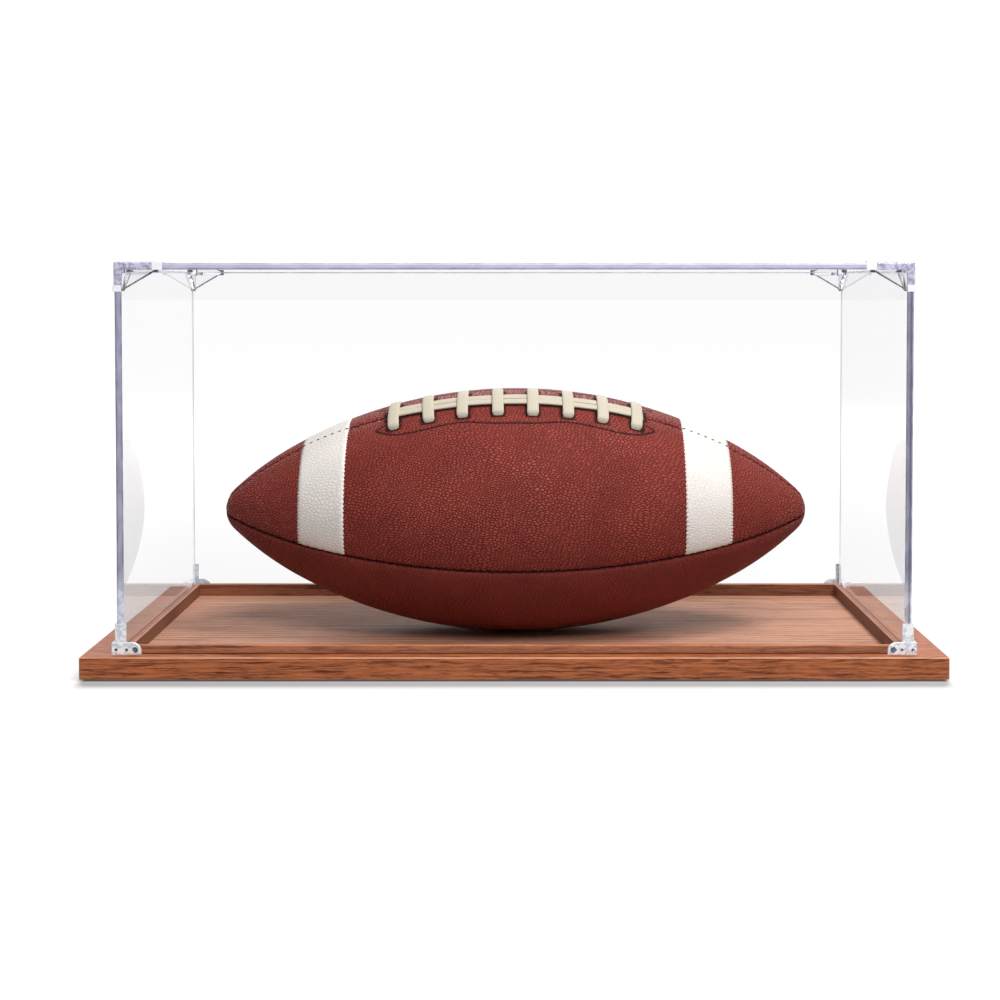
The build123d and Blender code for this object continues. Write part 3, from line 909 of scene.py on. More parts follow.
def weigh_normals(mesh: Mesh, limit: float = SHADED_APART) -> None:
    """Give each corner the normal of the faces round it, the large ones first.

    Args:
        mesh: The mesh, whose flat faces stay flat up to their eased edges.
        limit: Faces that lean apart more than this many degrees are kept apart.
    """
    touching: list[list[MeshPolygon]] = [[] for _ in mesh.vertices]
    for face in mesh.polygons:
        for index in face.vertices:
            touching[index].append(face)
    nearest = math.cos(math.radians(limit))
    normals = []
    for face in mesh.polygons:
        for index in face.vertices:
            near = [o for o in touching[index] if face.normal.dot(o.normal) > nearest]
            total = sum((o.normal * o.area for o in near), Vector())
            normals.append(tuple(total.normalized()))
    smooth(mesh)
    mesh.normals_split_custom_set(normals)


def sharp_edges(work: bmesh.types.BMesh, least: float) -> list[bmesh.types.BMEdge]:
    """Give the edges whose two faces lean apart by more than a number of degrees."""
    pairs = (edge for edge in work.edges if len(edge.link_faces) == 2)
    return [edge for edge in pairs if edge.calc_face_angle() > math.radians(least)]


def softened_copy(
    node: str, name: str, width: float, segments: int = 2, round_off: float = 0.0,
    picks: Callable[[bmesh.types.BMEdge], bool] | None = None, limit: float = SHADED_APART,
) -> Object:
    """Copy a CAD node with its sharp edges eased.

    Args:
        node: The CAD node's name.
        name: The new piece's name.
        width: How far each edge is eased, in metres.
        segments: Faces across each eased edge.
        round_off: A wider easing for the picked edges.
        picks: Tells which edges get the wider easing.
        limit: Faces that lean apart more than this many degrees are shaded apart.

    Returns:
        The new piece.
    """
    work = bmesh.new()
    work.from_mesh(frame["nodes"][node].data)
    bmesh.ops.remove_doubles(work, verts=work.verts, dist=WELD)
    flat = math.radians(FLAT_UP_TO)
    bmesh.ops.dissolve_limit(work, angle_limit=flat, verts=work.verts, edges=work.edges)
    sharp = sharp_edges(work, SHARP_FROM)
    if picks is not None:
        wide = [e for e in sharp if picks(e)]
        bmesh.ops.bevel(work, geom=wide, offset=round_off, segments=4, profile=0.5, affect="EDGES")
        sharp = sharp_edges(work, STILL_SHARP_FROM)
    bmesh.ops.bevel(
        work, geom=sharp, offset=width, segments=segments, profile=0.5, affect="EDGES", clamp_overlap=True
    )
    bmesh.ops.triangulate(work, faces=[f for f in work.faces if len(f.verts) > 4])
    mesh = bpy.data.meshes.new(name)
    work.to_mesh(mesh)
    work.free()
    weigh_normals(mesh, limit)
    return add_object(name, mesh)


def settle(obj: Object, body: str, slot: str, *nodes: str) -> Object:
    """Let a finished piece ride on its body and stand for its nodes.

    Args:
        obj: The piece.
        body: The CAD body that it moves with.
        slot: The record's material slot; not used.
        nodes: The CAD nodes that it replaces.

    Returns:
        The piece.
    """
    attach(obj, body)
    if nodes:
        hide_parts(*nodes)
    log.info("%s rides on %s, faces %d", obj.name, body, len(obj.data.polygons))
    return obj


# Pieces set along a path, made with Geometry Nodes


class PathSetter:
    """Sets copies of a small piece along a path, standing on a surface."""

    SOCKETS = {
        "Piece": "NodeSocketObject",
        "Count": "NodeSocketInt",
        "Lift": "NodeSocketFloat",
        "Turn Spread": "NodeSocketFloat",
        "Size Spread": "NodeSocketFloat",
        "Seed": "NodeSocketInt",
        "Finish": "NodeSocketMaterial",
    }

    def __init__(self) -> None:
        """Build the node tree."""
        self.tree = bpy.data.node_groups.new("Pieces along a path", "GeometryNodeTree")
        face = self.tree.interface
        face.new_socket("Geometry", in_out="INPUT", socket_type="NodeSocketGeometry")
        self.ids = {}
        for label, kind in self.SOCKETS.items():
            self.ids[label] = face.new_socket(label, in_out="INPUT", socket_type=kind).identifier
        face.new_socket("Geometry", in_out="OUTPUT", socket_type="NodeSocketGeometry")
        self.wire()

    def wire(self) -> None:
        """Join the nodes: path to points, points to turned copies, copies to one mesh."""
        g = Graph(self.tree)
        given = g.add("NodeGroupInput").outputs
        curve = g.add("GeometryNodeMeshToCurve", {"Mesh": given["Geometry"]}).outputs[0]
        counting = {"Curve": curve, "Count": given["Count"]}
        points = g.add("GeometryNodeCurveToPoints", counting, mode="COUNT")
        upward = g.add("GeometryNodeInputNamedAttribute", {"Name": "out"}, data_type="FLOAT_VECTOR")
        standing = {"Vector": upward.outputs["Attribute"]}
        level = g.add("FunctionNodeAlignRotationToVector", standing, axis="Z")
        heading = {"Rotation": level.outputs[0], "Vector": points.outputs["Tangent"]}
        turned = g.add("FunctionNodeAlignRotationToVector", heading, axis="X", pivot_axis="Z")
        piece = g.add("GeometryNodeObjectInfo", {"Object": given["Piece"]}, transform_space="ORIGINAL")
        spread = g.add("FunctionNodeRandomValue", {"Seed": given["Seed"]}, data_type="FLOAT_VECTOR")
        g.feed(spread.inputs[0], g.math("SUBTRACT", 1.0, given["Size Spread"]))
        g.feed(spread.inputs[1], g.math("ADD", 1.0, given["Size Spread"]))
        placing = {"Points": points.outputs["Points"], "Instance": piece.outputs["Geometry"]}
        placing |= {"Rotation": turned.outputs[0], "Scale": spread.outputs["Value"]}
        placed = g.add("GeometryNodeInstanceOnPoints", placing)
        lifting = {"Instances": placed.outputs[0], "Translation": g.combine(z=given["Lift"])}
        raised = g.add("GeometryNodeTranslateInstances", lifting)
        swing = g.add("FunctionNodeRandomValue", {"Seed": given["Seed"]}, data_type="FLOAT")
        g.feed(swing.inputs[2], g.math("MULTIPLY", given["Turn Spread"], -1.0))
        g.feed(swing.inputs[3], given["Turn Spread"])
        turning = {"Instances": raised.outputs[0], "Rotation": g.combine(z=swing.outputs[1])}
        rotated = g.add("GeometryNodeRotateInstances", turning)
        solid = g.add("GeometryNodeRealizeInstances", {"Geometry": rotated.outputs[0]})
        coating = {"Geometry": solid.outputs[0], "Material": given["Finish"]}
        finished = g.add("GeometryNodeSetMaterial", coating)
        result = g.add("NodeGroupOutput")
        g.feed(result.inputs[0], finished.outputs[0])

    def run(
        self, name: str, path: Sequence[Spot], piece: Object, **values: Any
    ) -> Object:
        """Set the pieces and turn the result into a plain mesh.

        Args:
            name: The result's name.
            path: Points of the path, each with the surface's outward direction.
            piece: The small piece: its length along X, standing on Z.
            values: The tree's other inputs by name, with underscores for spaces.

        Returns:
            One mesh object with every copy.
        """
        route = bpy.data.meshes.new(name + "_route")
        links = [(i, i + 1) for i in range(len(path) - 1)]
        route.from_pydata([tuple(point) for point, _ in path], links, [])
        out = route.attributes.new("out", "FLOAT_VECTOR", "POINT")
        out.data.foreach_set("vector", [c for _, direction in path for c in direction])
        carrier = add_object(name + "_route", route)
        modifier = carrier.modifiers.new("Pieces", "NODES")
        modifier.node_group = self.tree
        modifier[self.ids["Piece"]] = piece
        for label, value in values.items():
            modifier[self.ids[label.replace("_", " ")]] = value
        bpy.context.view_layer.update()
        evaluated = carrier.evaluated_get(bpy.context.evaluated_depsgraph_get())
        mesh = bpy.data.meshes.new_from_object(evaluated)
        mesh.name = name
        bpy.data.objects.remove(carrier)
        smooth(mesh)
        return add_object(name, mesh)


# Wooden base


@dataclass
class WoodenBase:
    """Slab, floor boards, mitred rim and pads."""

    wardrobe: Wardrobe
    board_edge: float = 0.22 * MM

    def build(self) -> None:
        """Dress the CAD nodes and ease the boards' edges."""
        self.wardrobe.dress(frame["nodes"]["base_board"], Finish.SLAB)
        self.wardrobe.dress(frame["nodes"]["rim_front"], Finish.LIT_FRONT_RIM)
        for side in ("rear", "left", "right"):
            self.wardrobe.dress(frame["nodes"]["rim_" + side], Finish.RIM)
        self.wardrobe.dress(frame["nodes"]["base_pads"], Finish.FELT)
        for side in ("front", "rear"):
            node = "floor_board_" + side
            board = softened_copy(node, node + "_eased", self.board_edge)
            self.wardrobe.dress(board, Finish.FLOOR)
            settle(board, "base", "wood_floor", node)
        log.info("base dressed")


# Clear cover


@dataclass
class ClearCover:
    """Five clear sheets with cut edges, four top connectors and four corner feet.

    Attributes:
        sheet_edge, fitting_edge, foot_edge: How far each kind of piece's edges are eased.
        sheet_limit: Degrees from which a sheet's faces are shaded apart.
        polished_from, downward_from: How squarely a sheet's polished and lower faces look; the lower
        faces are painted brown with the wood seen in them and the shade where they sit.
        corner_round: Rounding of the connectors' three outer edges, which are longer than line_least.
        strip: Width of the dark line along a connector's slanted faces, which lie deeper than
            slant_inset, are larger than slant_area and lean by more than slant_least.
        collar_from, collar_drop: Where a connector's arms turn into white collars, a painted highlight.
        foot_wall, square_from: Thickness of a foot's tabs, and how squarely their clear faces look;
        the other faces get a painted highlight.
        hole_level, hole_depth, holes: Height and depth of a foot's blind holes, then the distance
            from the corner and the bore of each.
        slack: Small allowance when places are compared.
        outer_skin: Faces nearer the outside than this count as outer ones.
    """

    wardrobe: Wardrobe
    sheet_edge: float = 0.25 * MM
    fitting_edge: float = 0.12 * MM
    corner_round: float = 0.9 * MM
    line_least: float = 5.0 * MM
    sheet_limit: float = 8.0
    polished_from: float = 0.97
    downward_from: float = 0.3
    strip: float = 0.75 * MM
    slant_inset: float = 2.0 * MM
    slant_area: float = 4e-6
    slant_least: float = 0.3
    slack: float = 0.02 * MM
    outer_skin: float = 0.1 * MM
    collar_from: float = 17.6 * MM
    collar_drop: float = 10.5 * MM
    foot_wall: float = 1.9 * MM
    foot_edge: float = 0.45 * MM
    square_from: float = 0.98
    hole_level: float = 2.2 * MM
    hole_depth: float = 1.2 * MM
    holes: tuple[tuple[float, float], ...] = ((0.0, 1.5 * MM), (4.9 * MM, 1.5 * MM), (8.9 * MM, 2.8 * MM))

    def build(self) -> None:
        """Build every sheet and fitting."""
        self.corner = Vector(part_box("panel_top")[1])
        self.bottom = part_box("panel_front")[0].z
        thin_axes = {"front": 1, "rear": 1, "left": 0, "right": 0, "top": 2}
        for side, axis in thin_axes.items():
            face = Finish.SIDE_SHEET if axis == 0 else Finish.SHEET
            # The top sheet's edges take the copy painted lighter, as lit.
            self.sheet("panel_" + side, axis, face, Finish.LIT_TOP_EDGE if axis == 2 else Finish.EDGE)
        for corner in ("front_left", "front_right", "rear_left", "rear_right"):
            self.connector("connector_" + corner)
            self.foot("foot_" + corner)

    def sheet(self, node: str, axis: int, finish: Finish, edge: Finish) -> None:
        """Build one sheet: polished faces, cut edges with their own UV map, lower ones in painted shade.

        Args:
            node: The CAD node's name.
            axis: The axis that the sheet is thin along.
            finish: The polished faces' finish.
            edge: The cut edges' finish.
        """
        piece = softened_copy(node, node + "_sheet", self.sheet_edge, limit=self.sheet_limit)
        low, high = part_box(node)
        mesh = piece.data
        self.wardrobe.dress(piece, finish, edge, Finish.SHADED_SEAT_EDGE)
        across = mesh.uv_layers.new(name="across")
        for face in mesh.polygons:
            face.material_index = 0 if abs(face.normal[axis]) > self.polished_from else 1
            # Lower faces: painted brown with the wood seen in them and the shade where they sit.
            if axis != 2 and face.normal.z < -self.downward_from:
                face.material_index = 2
            for corner in face.loop_indices:
                point = mesh.vertices[mesh.loops[corner].vertex_index].co
                share = (point[axis] - low[axis]) / (high[axis] - low[axis])
                along = sum(point[i] for i in range(3) if i != axis)
                across.data[corner].uv = (along, share)
        settle(piece, "cover", "clear_sheet", node)

    def from_corner(self, point: Vector) -> Vector:
        """Give a point's distances from the nearest top corner, inwards and down."""
        return self.corner - Vector((abs(point.x), abs(point.y), point.z))

    def on_corner_line(self, edge: bmesh.types.BMEdge) -> bool:
        """Tell whether an edge of a connector is one of the three that meet at the cover's corner."""
        places = [self.from_corner(v.co) for v in edge.verts]
        on_line = all(sum(c < self.slack for c in place) >= 2 for place in places)
        return on_line and edge.calc_length() > self.line_least

    def score(self, piece: Object) -> list[Spot]:
        """Cut a strip along each slanted edge into the flat faces beside it.

        Args:
            piece: A connector.

        Returns:
            The slanted faces' planes: a direction and a point for each.
        """
        work = bmesh.new()
        work.from_mesh(piece.data)
        planes: list[Spot] = []
        for face in work.faces:
            middle = face.calc_center_median()
            inner = min(self.from_corner(middle)) > self.slant_inset
            slants = sorted(abs(c) for c in face.normal)[1] > self.slant_least
            wide = inner and slants and face.calc_area() > self.slant_area
            if wide and all(face.normal.dot(known) < 0.95 for known, _ in planes):
                planes.append((face.normal.copy(), middle))
        for normal, point in planes:
            whole = [*work.verts, *work.edges, *work.faces]
            cut = point - normal * self.strip
            bmesh.ops.bisect_plane(work, geom=whole, dist=1e-7, plane_co=cut, plane_no=normal)
        work.to_mesh(piece.data)
        work.free()
        weigh_normals(piece.data)
        return planes

    def connector(self, node: str) -> None:
        """Build a top connector, with painted-highlight collars and a dark line on each slanted edge.

        Args:
            node: The CAD node's name.
        """
        piece = softened_copy(
            node, node + "_moulded", self.fitting_edge, 2, self.corner_round, self.on_corner_line
        )
        planes = self.score(piece)
        self.wardrobe.dress(piece, Finish.SLEEVE, Finish.GUSSET, Finish.GUSSET_EDGE, Finish.HIGHLIT_COLLAR)
        for face in piece.data.polygons:
            place = self.from_corner(face.center)
            far = max(place.x, place.y) > self.collar_from or place.z > self.collar_drop
            if min(place) < self.outer_skin:
                # Outer faces at the arms' ends take the painted highlight.
                face.material_index = 3 if far else 0
                continue
            beside = (
                abs(face.normal.dot(normal)) < 0.2 and (face.center - point).dot(normal) > -self.strip
                for normal, point in planes
            )
            face.material_index = 2 if any(beside) else 1
        settle(piece, "cover", "clear_fitting", node)

    def foot(self, node: str) -> None:
        """Build one corner foot, with shaded blind holes and a painted highlight on its eased edges.

        Args:
            node: The CAD node's name.
        """
        piece = softened_copy(node, node + "_moulded", self.foot_edge, 3)
        self.wardrobe.dress(piece, Finish.FOOT, Finish.HIGHLIT_FOOT_RIM, Finish.HOLE)
        for face in piece.data.polygons:
            place = self.from_corner(face.center)
            up = face.center.z - self.bottom - self.hole_level
            squareness = max(abs(c) for c in face.normal)
            # Eased faces take the painted highlight.
            face.material_index = 0 if squareness > self.square_from else 1
            for along, outward in ((place.x, -place.y), (place.y, -place.x)):
                depth = self.foot_wall - outward
                sunk = self.outer_skin / 2 < depth < self.hole_depth + self.outer_skin
                for setback, bore in self.holes:
                    if sunk and math.hypot(along - setback, up) < bore / 2 + self.slack:
                        face.material_index = 2
        settle(piece, "cover", "clear_fitting", node)


# Ball


@dataclass
class BallShape:
    """The ball's outline: a long side arc, then a shoulder arc and a nose arc at each end."""

    center: Vector
    half_length: float = 146.8 * MM
    radius: float = 61.2 * MM
    nose: float = 14.0 * MM
    flatness: float = 1.03
    shoulder_share: float = 0.75

    def __post_init__(self) -> None:
        """Work out the three arcs, which meet without a corner."""
        nose_at = self.half_length - self.nose
        plain = (nose_at**2 + self.radius**2 - self.nose**2) / (2 * (self.radius - self.nose))
        side = self.flatness * plain
        drop = side - self.radius
        lean = math.asin(self.shoulder_share * self.half_length / side)
        from_nose = (side * math.sin(lean) - nose_at, side * math.cos(lean) - drop)
        reach = from_nose[0] * math.sin(lean) + from_nose[1] * math.cos(lean)
        square = from_nose[0] ** 2 + from_nose[1] ** 2 - self.nose**2
        shoulder = square / (2 * (reach - self.nose))
        shoulder_at = (side - shoulder) * math.sin(lean)
        shoulder_drop = drop - (side - shoulder) * math.cos(lean)
        nose_lean = math.atan2(nose_at - shoulder_at, shoulder_drop)
        self.side = side
        self.arcs = (
            (0.0, -drop, side, 0.0, lean),
            (shoulder_at, -shoulder_drop, shoulder, lean, nose_lean),
            (nose_at, 0.0, self.nose, nose_lean, math.pi / 2),
        )
        self.half_run = sum(radius * (end - start) for _, _, radius, start, end in self.arcs)

    def profile(self, run: float) -> Place:
        """Follow the outline from the middle.

        Args:
            run: The distance along the outline, below zero towards the left end.

        Returns:
            Place along the axis, height above it, and the lean of the surface there in radians.
        """
        side = -1.0 if run < 0 else 1.0
        rest = min(abs(run), self.half_run)
        for x, height, radius, start, end in self.arcs:
            length = radius * (end - start)
            if rest <= length or end == self.arcs[-1][4]:
                lean = min(start + rest / radius, end)
                break
            rest -= length
        top = height + radius * math.cos(lean)
        return side * (x + radius * math.sin(lean)), max(top, 0.0), side * lean

    def run_at(self, along: float) -> float:
        """Give the run whose place along the axis is known, on the side arc."""
        return self.side * math.asin(along / self.side)

    def point(self, run: float, angle: float, lift: float = 0.0) -> Vector:
        """Give a point on or above the ball.

        Args:
            run: Distance along the outline from the middle.
            angle: Degrees from the front, up over the ball.
            lift: Height above the surface.

        Returns:
            The point in the case's frame.
        """
        along, height, lean = self.profile(run)
        height += lift * math.cos(lean)
        turned = math.radians(angle)
        along += lift * math.sin(lean)
        return self.center + Vector((along, -height * math.cos(turned), height * math.sin(turned)))

    def outward(self, run: float, angle: float) -> Vector:
        """Give the surface's outward direction."""
        return (self.point(run, angle, MM) - self.point(run, angle)).normalized()

    def degrees_for(self, run: float, length: float) -> float:
        """Give the angle that a length takes round the ball at a run."""
        height = max(self.profile(run)[1], 2.0 * MM)
        return math.degrees(length / height)


@dataclass
class SeamRelief:
    """How the leather rolls down into a seam and puckers at its stitches.

    Attributes:
        depth, width: How far it rolls down and how far in that starts.
        most: The largest share of a panel's width that the roll takes.
        pucker_depth, pucker_pitch, pucker_reach: The puckers' depth, spacing and reach.
        even_from: A panel narrower than this has weaker puckers.
    """

    depth: float = 1.5 * MM
    width: float = 2.3 * MM
    most: float = 0.42
    pucker_depth: float = 0.55 * MM
    pucker_pitch: float = 4.2 * MM
    pucker_reach: float = 2.9 * MM
    even_from: float = 20.0 * MM

    def at(self, run: float, gap: float, span: float) -> float:
        """Give the leather's drop near a seam.

        Args:
            run: Distance along the seam.
            gap: Distance from the nearer seam.
            span: The panel's width at that run.

        Returns:
            The change in height, zero or below.
        """
        width = max(min(self.width, self.most * span), MERGE)
        depth = self.depth * min(1.0, width / self.width)
        share = min(gap / width, 1.0)
        rolled = -depth * (1.0 - math.sqrt(max(0.0, 1.0 - (1.0 - share) ** 2)))
        beat = 0.5 + 0.5 * math.cos(2 * math.pi * run / self.pucker_pitch)
        fade = math.exp(-((gap / self.pucker_reach) ** 2)) * min(1.0, span / self.even_from)
        return rolled - self.pucker_depth * beat * fade


@dataclass
class LaceOutline:
    """The sewn line round the laces: how far it lies from the seam, place by place.

    Attributes:
        places: Place along the ball from its middle and distance from the seam, in millimetres.
        tip_back: The same for the line's end, which turns back to the seam.
    """

    places: tuple[tuple[float, float], ...] = (
        (0.0, 18.6), (8.5, 18.6), (15.0, 17.8), (21.5, 16.7), (28.0, 16.2), (36.8, 16.9),
        (43.0, 17.6), (49.3, 18.0), (55.0, 17.6), (59.3, 16.8), (64.0, 14.4), (68.3, 10.6),
    )
    tip_back: tuple[tuple[float, float], ...] = ((65.0, 8.6), (61.5, 6.8), (58.5, 3.4))

    def line(self) -> list[tuple[float, float]]:
        """Give the line from one end to the other as place and distance, in metres."""
        half = [*self.places, *self.tip_back]
        whole = [(-x, d) for x, d in reversed(half)] + half[1:]
        return [(x * MM, d * MM) for x, d in smooth_path(whole, 4)]

    @staticmethod
    def distance(line: Sequence[tuple[float, float]], x: float, d: float) -> float:
        """Give how far a place is from the line, below zero on its right hand side.

        Args:
            line: The line's points.
            x, d: The place and its distance from the seam.

        Returns:
            The distance, whose sign lets it pass through zero between two points.
        """
        best = 1.0
        for (ax, ad), (bx, bd) in zip(line, line[1:]):
            ux, ud = bx - ax, bd - ad
            length = ux * ux + ud * ud
            share = ((x - ax) * ux + (d - ad) * ud) / length if length else 0.0
            share = max(0.0, min(1.0, share))
            away = math.hypot(ax + ux * share - x, ad + ud * share - d)
            if away < abs(best):
                best = math.copysign(away, ux * (d - ad) - ud * (x - ax))
        return best


def turn_between(angle: float, other: float) -> float:
    """Give the turn from one angle to another, from -180 to 180 degrees."""
    return (angle - other + 180) % 360 - 180


def smooth_path(points: Sequence[tuple[float, float]], steps: int) -> list[tuple[float, float]]:
    """Round a line of points off with a curve through all of them.

    Args:
        points: The points to pass through.
        steps: Pieces between two of them.

    Returns:
        The finer line.
    """
    result = []
    last = len(points) - 1
    for i in range(last):
        near = [points[max(0, min(last, i + k))] for k in (-1, 0, 1, 2)]
        for step in range(steps):
            t = step / steps
            weights = (
                -0.5 * t + t * t - 0.5 * t**3,
                1 - 2.5 * t * t + 1.5 * t**3,
                0.5 * t + 2 * t * t - 1.5 * t**3,
                -0.5 * t * t + 0.5 * t**3,
            )
            result.append(tuple(sum(w * p[k] for w, p in zip(weights, near)) for k in (0, 1)))
    result.append(tuple(points[-1]))
    return result


@dataclass
class LacedBall:
    """Four leather panels, white bands, long lace, short laces, stitches and the inner parts.

    Attributes:
        lace_seam, front_seam, rear_seam, back_seam: The seams' angles in degrees, from the front
            and up over the ball.
        leather, rows, columns: Each panel's thickness and its points along and across.
        crowding, end_crowding: How far those points crowd towards seams and tips.
        marked_length, marked_width: Where the distance from the sewn line and the laces is worked
            out. It is unmarked elsewhere.
        band_inner, band_outer, band_lift: The bands' two edges from the ball's middle, and height.
        tooth, teeth: Depth and number of the saw teeth of a band's edges.
        strand_reach, strand_width, strand_height, strand_offset: Half length, size and distance
            from the seam of the long lace's two strands.
        strand_seat, strand_dip, dip_from: The strands' height, and how far and from where their
            ends sink in.
        wave, wave_length, pinch: The strands' sway, and how far they close up at the ends.
        lace_reach, lace_span, lace_width, lace_height, laces: The short laces' outermost place,
            half length, size and number.
        arch_rise, arch_sag, tip_dip, tip_from: A short lace's height in its middle, how much lower
            its ends are, and how far and from where they sink into the leather.
    """

    wardrobe: Wardrobe
    setter: PathSetter
    relief: SeamRelief = field(default_factory=SeamRelief)
    outline: LaceOutline = field(default_factory=LaceOutline)
    lace_seam: float = 67.0
    front_seam: float = -23.0
    rear_seam: float = -113.0
    back_seam: float = -203.0
    leather: float = 3.2 * MM
    rows: int = 340
    columns: int = 64
    crowding: float = 0.14
    end_crowding: float = 0.25
    marked_length: float = 75.0 * MM
    marked_width: float = 25.0 * MM
    unmarked: float = 10.0 * MM
    band_inner: float = 82.5 * MM
    band_outer: float = 106.5 * MM
    band_lift: float = 0.26 * MM
    tooth: float = 0.55 * MM
    teeth: int = 33
    strand_reach: float = 64.0 * MM
    strand_width: float = 4.3 * MM
    strand_height: float = 1.6 * MM
    strand_offset: float = 2.3 * MM
    strand_seat: float = 0.85 * MM
    strand_dip: float = 1.9 * MM
    dip_from: float = 0.94
    wave: float = 0.2 * MM
    wave_length: float = 5.4 * MM
    pinch: float = 0.35
    laces: int = 8
    lace_reach: float = 59.5 * MM
    lace_span: float = 13.4 * MM
    lace_width: float = 5.7 * MM
    lace_height: float = 1.7 * MM
    arch_rise: float = 2.15 * MM
    arch_sag: float = 0.95 * MM
    tip_dip: float = 2.4 * MM
    tip_from: float = 0.8

    def __post_init__(self) -> None:
        """Find the ball in the frame."""
        boxes = [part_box(n) for n in frame["nodes"] if n.startswith("leather_")]
        low = Vector([min(b[0][i] for b in boxes) for i in range(3)])
        high = Vector([max(b[1][i] for b in boxes) for i in range(3)])
        self.shape = BallShape((low + high) / 2)
        self.panels = {
            "leather_upper_front": (self.lace_seam, self.front_seam),
            "leather_lower_front": (self.front_seam, self.rear_seam),
            "leather_lower_rear": (self.rear_seam, self.back_seam),
            "leather_upper_rear": (self.back_seam + 360.0, self.lace_seam),
        }

    def build(self) -> None:
        """Build every piece of the ball."""
        for node, seams in self.panels.items():
            self.panel(node, seams)
        for side in ("front", "rear"):
            for end, sign in (("left", -1), ("right", 1)):
                self.band(f"stripe_{side}_{end}", self.panels[f"leather_upper_{side}"], sign)
        self.long_lace()
        self.short_laces()
        self.stitches()
        self.wardrobe.dress(frame["nodes"]["bladder"], Finish.BLADDER)
        self.wardrobe.dress(frame["nodes"]["valve"], Finish.VALVE)

    def surface(
        self, run: float, share: float, seams: Seams, lift: float = 0.0, depth: float = 1.0
    ) -> Vector:
        """Give a point on a panel with its seam relief.

        Args:
            run: Distance along the outline.
            share: From 0 at the panel's first seam to 1 at its second.
            seams: The two seams' angles.
            lift: Extra height.
            depth: Share of the seam relief that is kept.

        Returns:
            The point.
        """
        start, end = seams
        height = self.shape.profile(run)[1]
        span = height * math.radians(abs(end - start))
        gap = min(share, 1.0 - share) * span
        relief = self.relief.at(run, gap, span) * depth
        return self.shape.point(run, start + (end - start) * share, relief + lift)

    @staticmethod
    def shell(name: str, rows: int, columns: int, skin: Callable[[int, int, bool], Vector]) -> Object:
        """Make a closed shell between an outer and an inner grid.

        Args:
            name: The object's name.
            rows, columns: Points each way.
            skin: Gives a point from its row, its column and whether it is on the outside.

        Returns:
            The shell.
        """
        grid = [(r, c) for r in range(rows) for c in range(columns)]
        points = [skin(r, c, outer) for outer in (True, False) for r, c in grid]
        back = rows * columns
        faces = []
        for r in range(rows - 1):
            for c in range(columns - 1):
                a = r * columns + c
                quad = (a, a + 1, a + columns + 1, a + columns)
                faces.append(quad)
                faces.append(tuple(i + back for i in reversed(quad)))
        for c in range(columns - 1):
            for a in (c, (rows - 1) * columns + c):
                faces.append((a, a + back, a + 1 + back, a + 1))
        for r in range(rows - 1):
            for a in (r * columns, r * columns + columns - 1):
                faces.append((a, a + back, a + columns + back, a + columns))
        return mesh_object(name, points, faces)

    def panel(self, node: str, seams: Seams) -> None:
        """Build one leather panel as a closed shell.

        Args:
            node: The CAD node that it replaces.
            seams: The angles of its two seams.
        """
        def skin(row: int, column: int, outer: bool) -> Vector:
            """Give a point of the shell."""
            even = 2 * row / (self.rows - 1) - 1
            crowded = self.end_crowding * math.sin(math.pi * even / 2)
            run = self.shape.half_run * ((1 - self.end_crowding) * even + crowded)
            share = column / (self.columns - 1)
            share -= self.crowding * math.sin(2 * math.pi * share)
            if outer:
                return self.surface(run, share, seams)
            return self.shape.point(run, seams[0] + (seams[1] - seams[0]) * share, -self.leather)

        shell = self.shell(node + "_hide", self.rows, self.columns, skin)
        self.mark(shell, seams)
        self.lay_hide(shell, seams)
        # Lower panels take the copy painted in shade.
        self.wardrobe.dress(shell, Finish.LEATHER if self.lace_seam in seams else Finish.SHADED_LOWER_LEATHER)
        settle(shell, "ball", "leather", node)

    def mark(self, piece: Object, seams: Seams) -> None:
        """Store on each point how far it lies from the seams, the sewn line and the laces.

        Args:
            piece: A leather panel.
            seams: The angles of its two seams.
        """
        mesh = piece.data
        line = self.outline.line()
        laced = self.lace_seam in seams
        seam_gaps, line_gaps, lace_gaps = [], [], []
        for vertex in mesh.vertices:
            offset = vertex.co - self.shape.center
            radius = math.hypot(offset.y, offset.z)
            angle = math.degrees(math.atan2(offset.z, -offset.y))
            nearer = min(abs(turn_between(angle, seam)) for seam in seams)
            seam_gaps.append(math.radians(nearer) * radius)
            from_seam = math.radians(abs(turn_between(angle, self.lace_seam))) * radius
            marked = laced and abs(offset.x) < self.marked_length and from_seam < self.marked_width
            line_gap = self.outline.distance(line, offset.x, from_seam) if marked else self.unmarked
            line_gaps.append(line_gap)
            lace_gaps.append(self.lace_gap(offset.x, from_seam) if marked else self.unmarked)
        stored = (("seam_gap", seam_gaps), ("line_gap", line_gaps), ("lace_gap", lace_gaps))
        for name, values in stored:
            mesh.attributes.new(name, "FLOAT", "POINT").data.foreach_set("value", values)

    def lace_gap(self, along: float, from_seam: float) -> float:
        """Give how far a place on the leather lies outside the nearest lace.

        Args:
            along: The place along the axis.
            from_seam: Its distance from the seam.

        Returns:
            The distance, below zero under a lace.
        """
        last = (self.laces - 1) / 2
        pitch = self.lace_reach / last
        nearest = max(-last, min(last, round(along / pitch - 0.5) + 0.5)) * pitch
        gaps = []
        for half_x, half_d, middle in (
            (self.lace_width / 2, self.lace_span, nearest),
            (self.strand_reach, self.strand_offset + self.strand_width / 2, 0.0),
        ):
            x, d = abs(along - middle) - half_x, from_seam - half_d
            gaps.append(math.hypot(max(x, 0.0), max(d, 0.0)) + min(max(x, d), 0.0))
        return min(gaps)

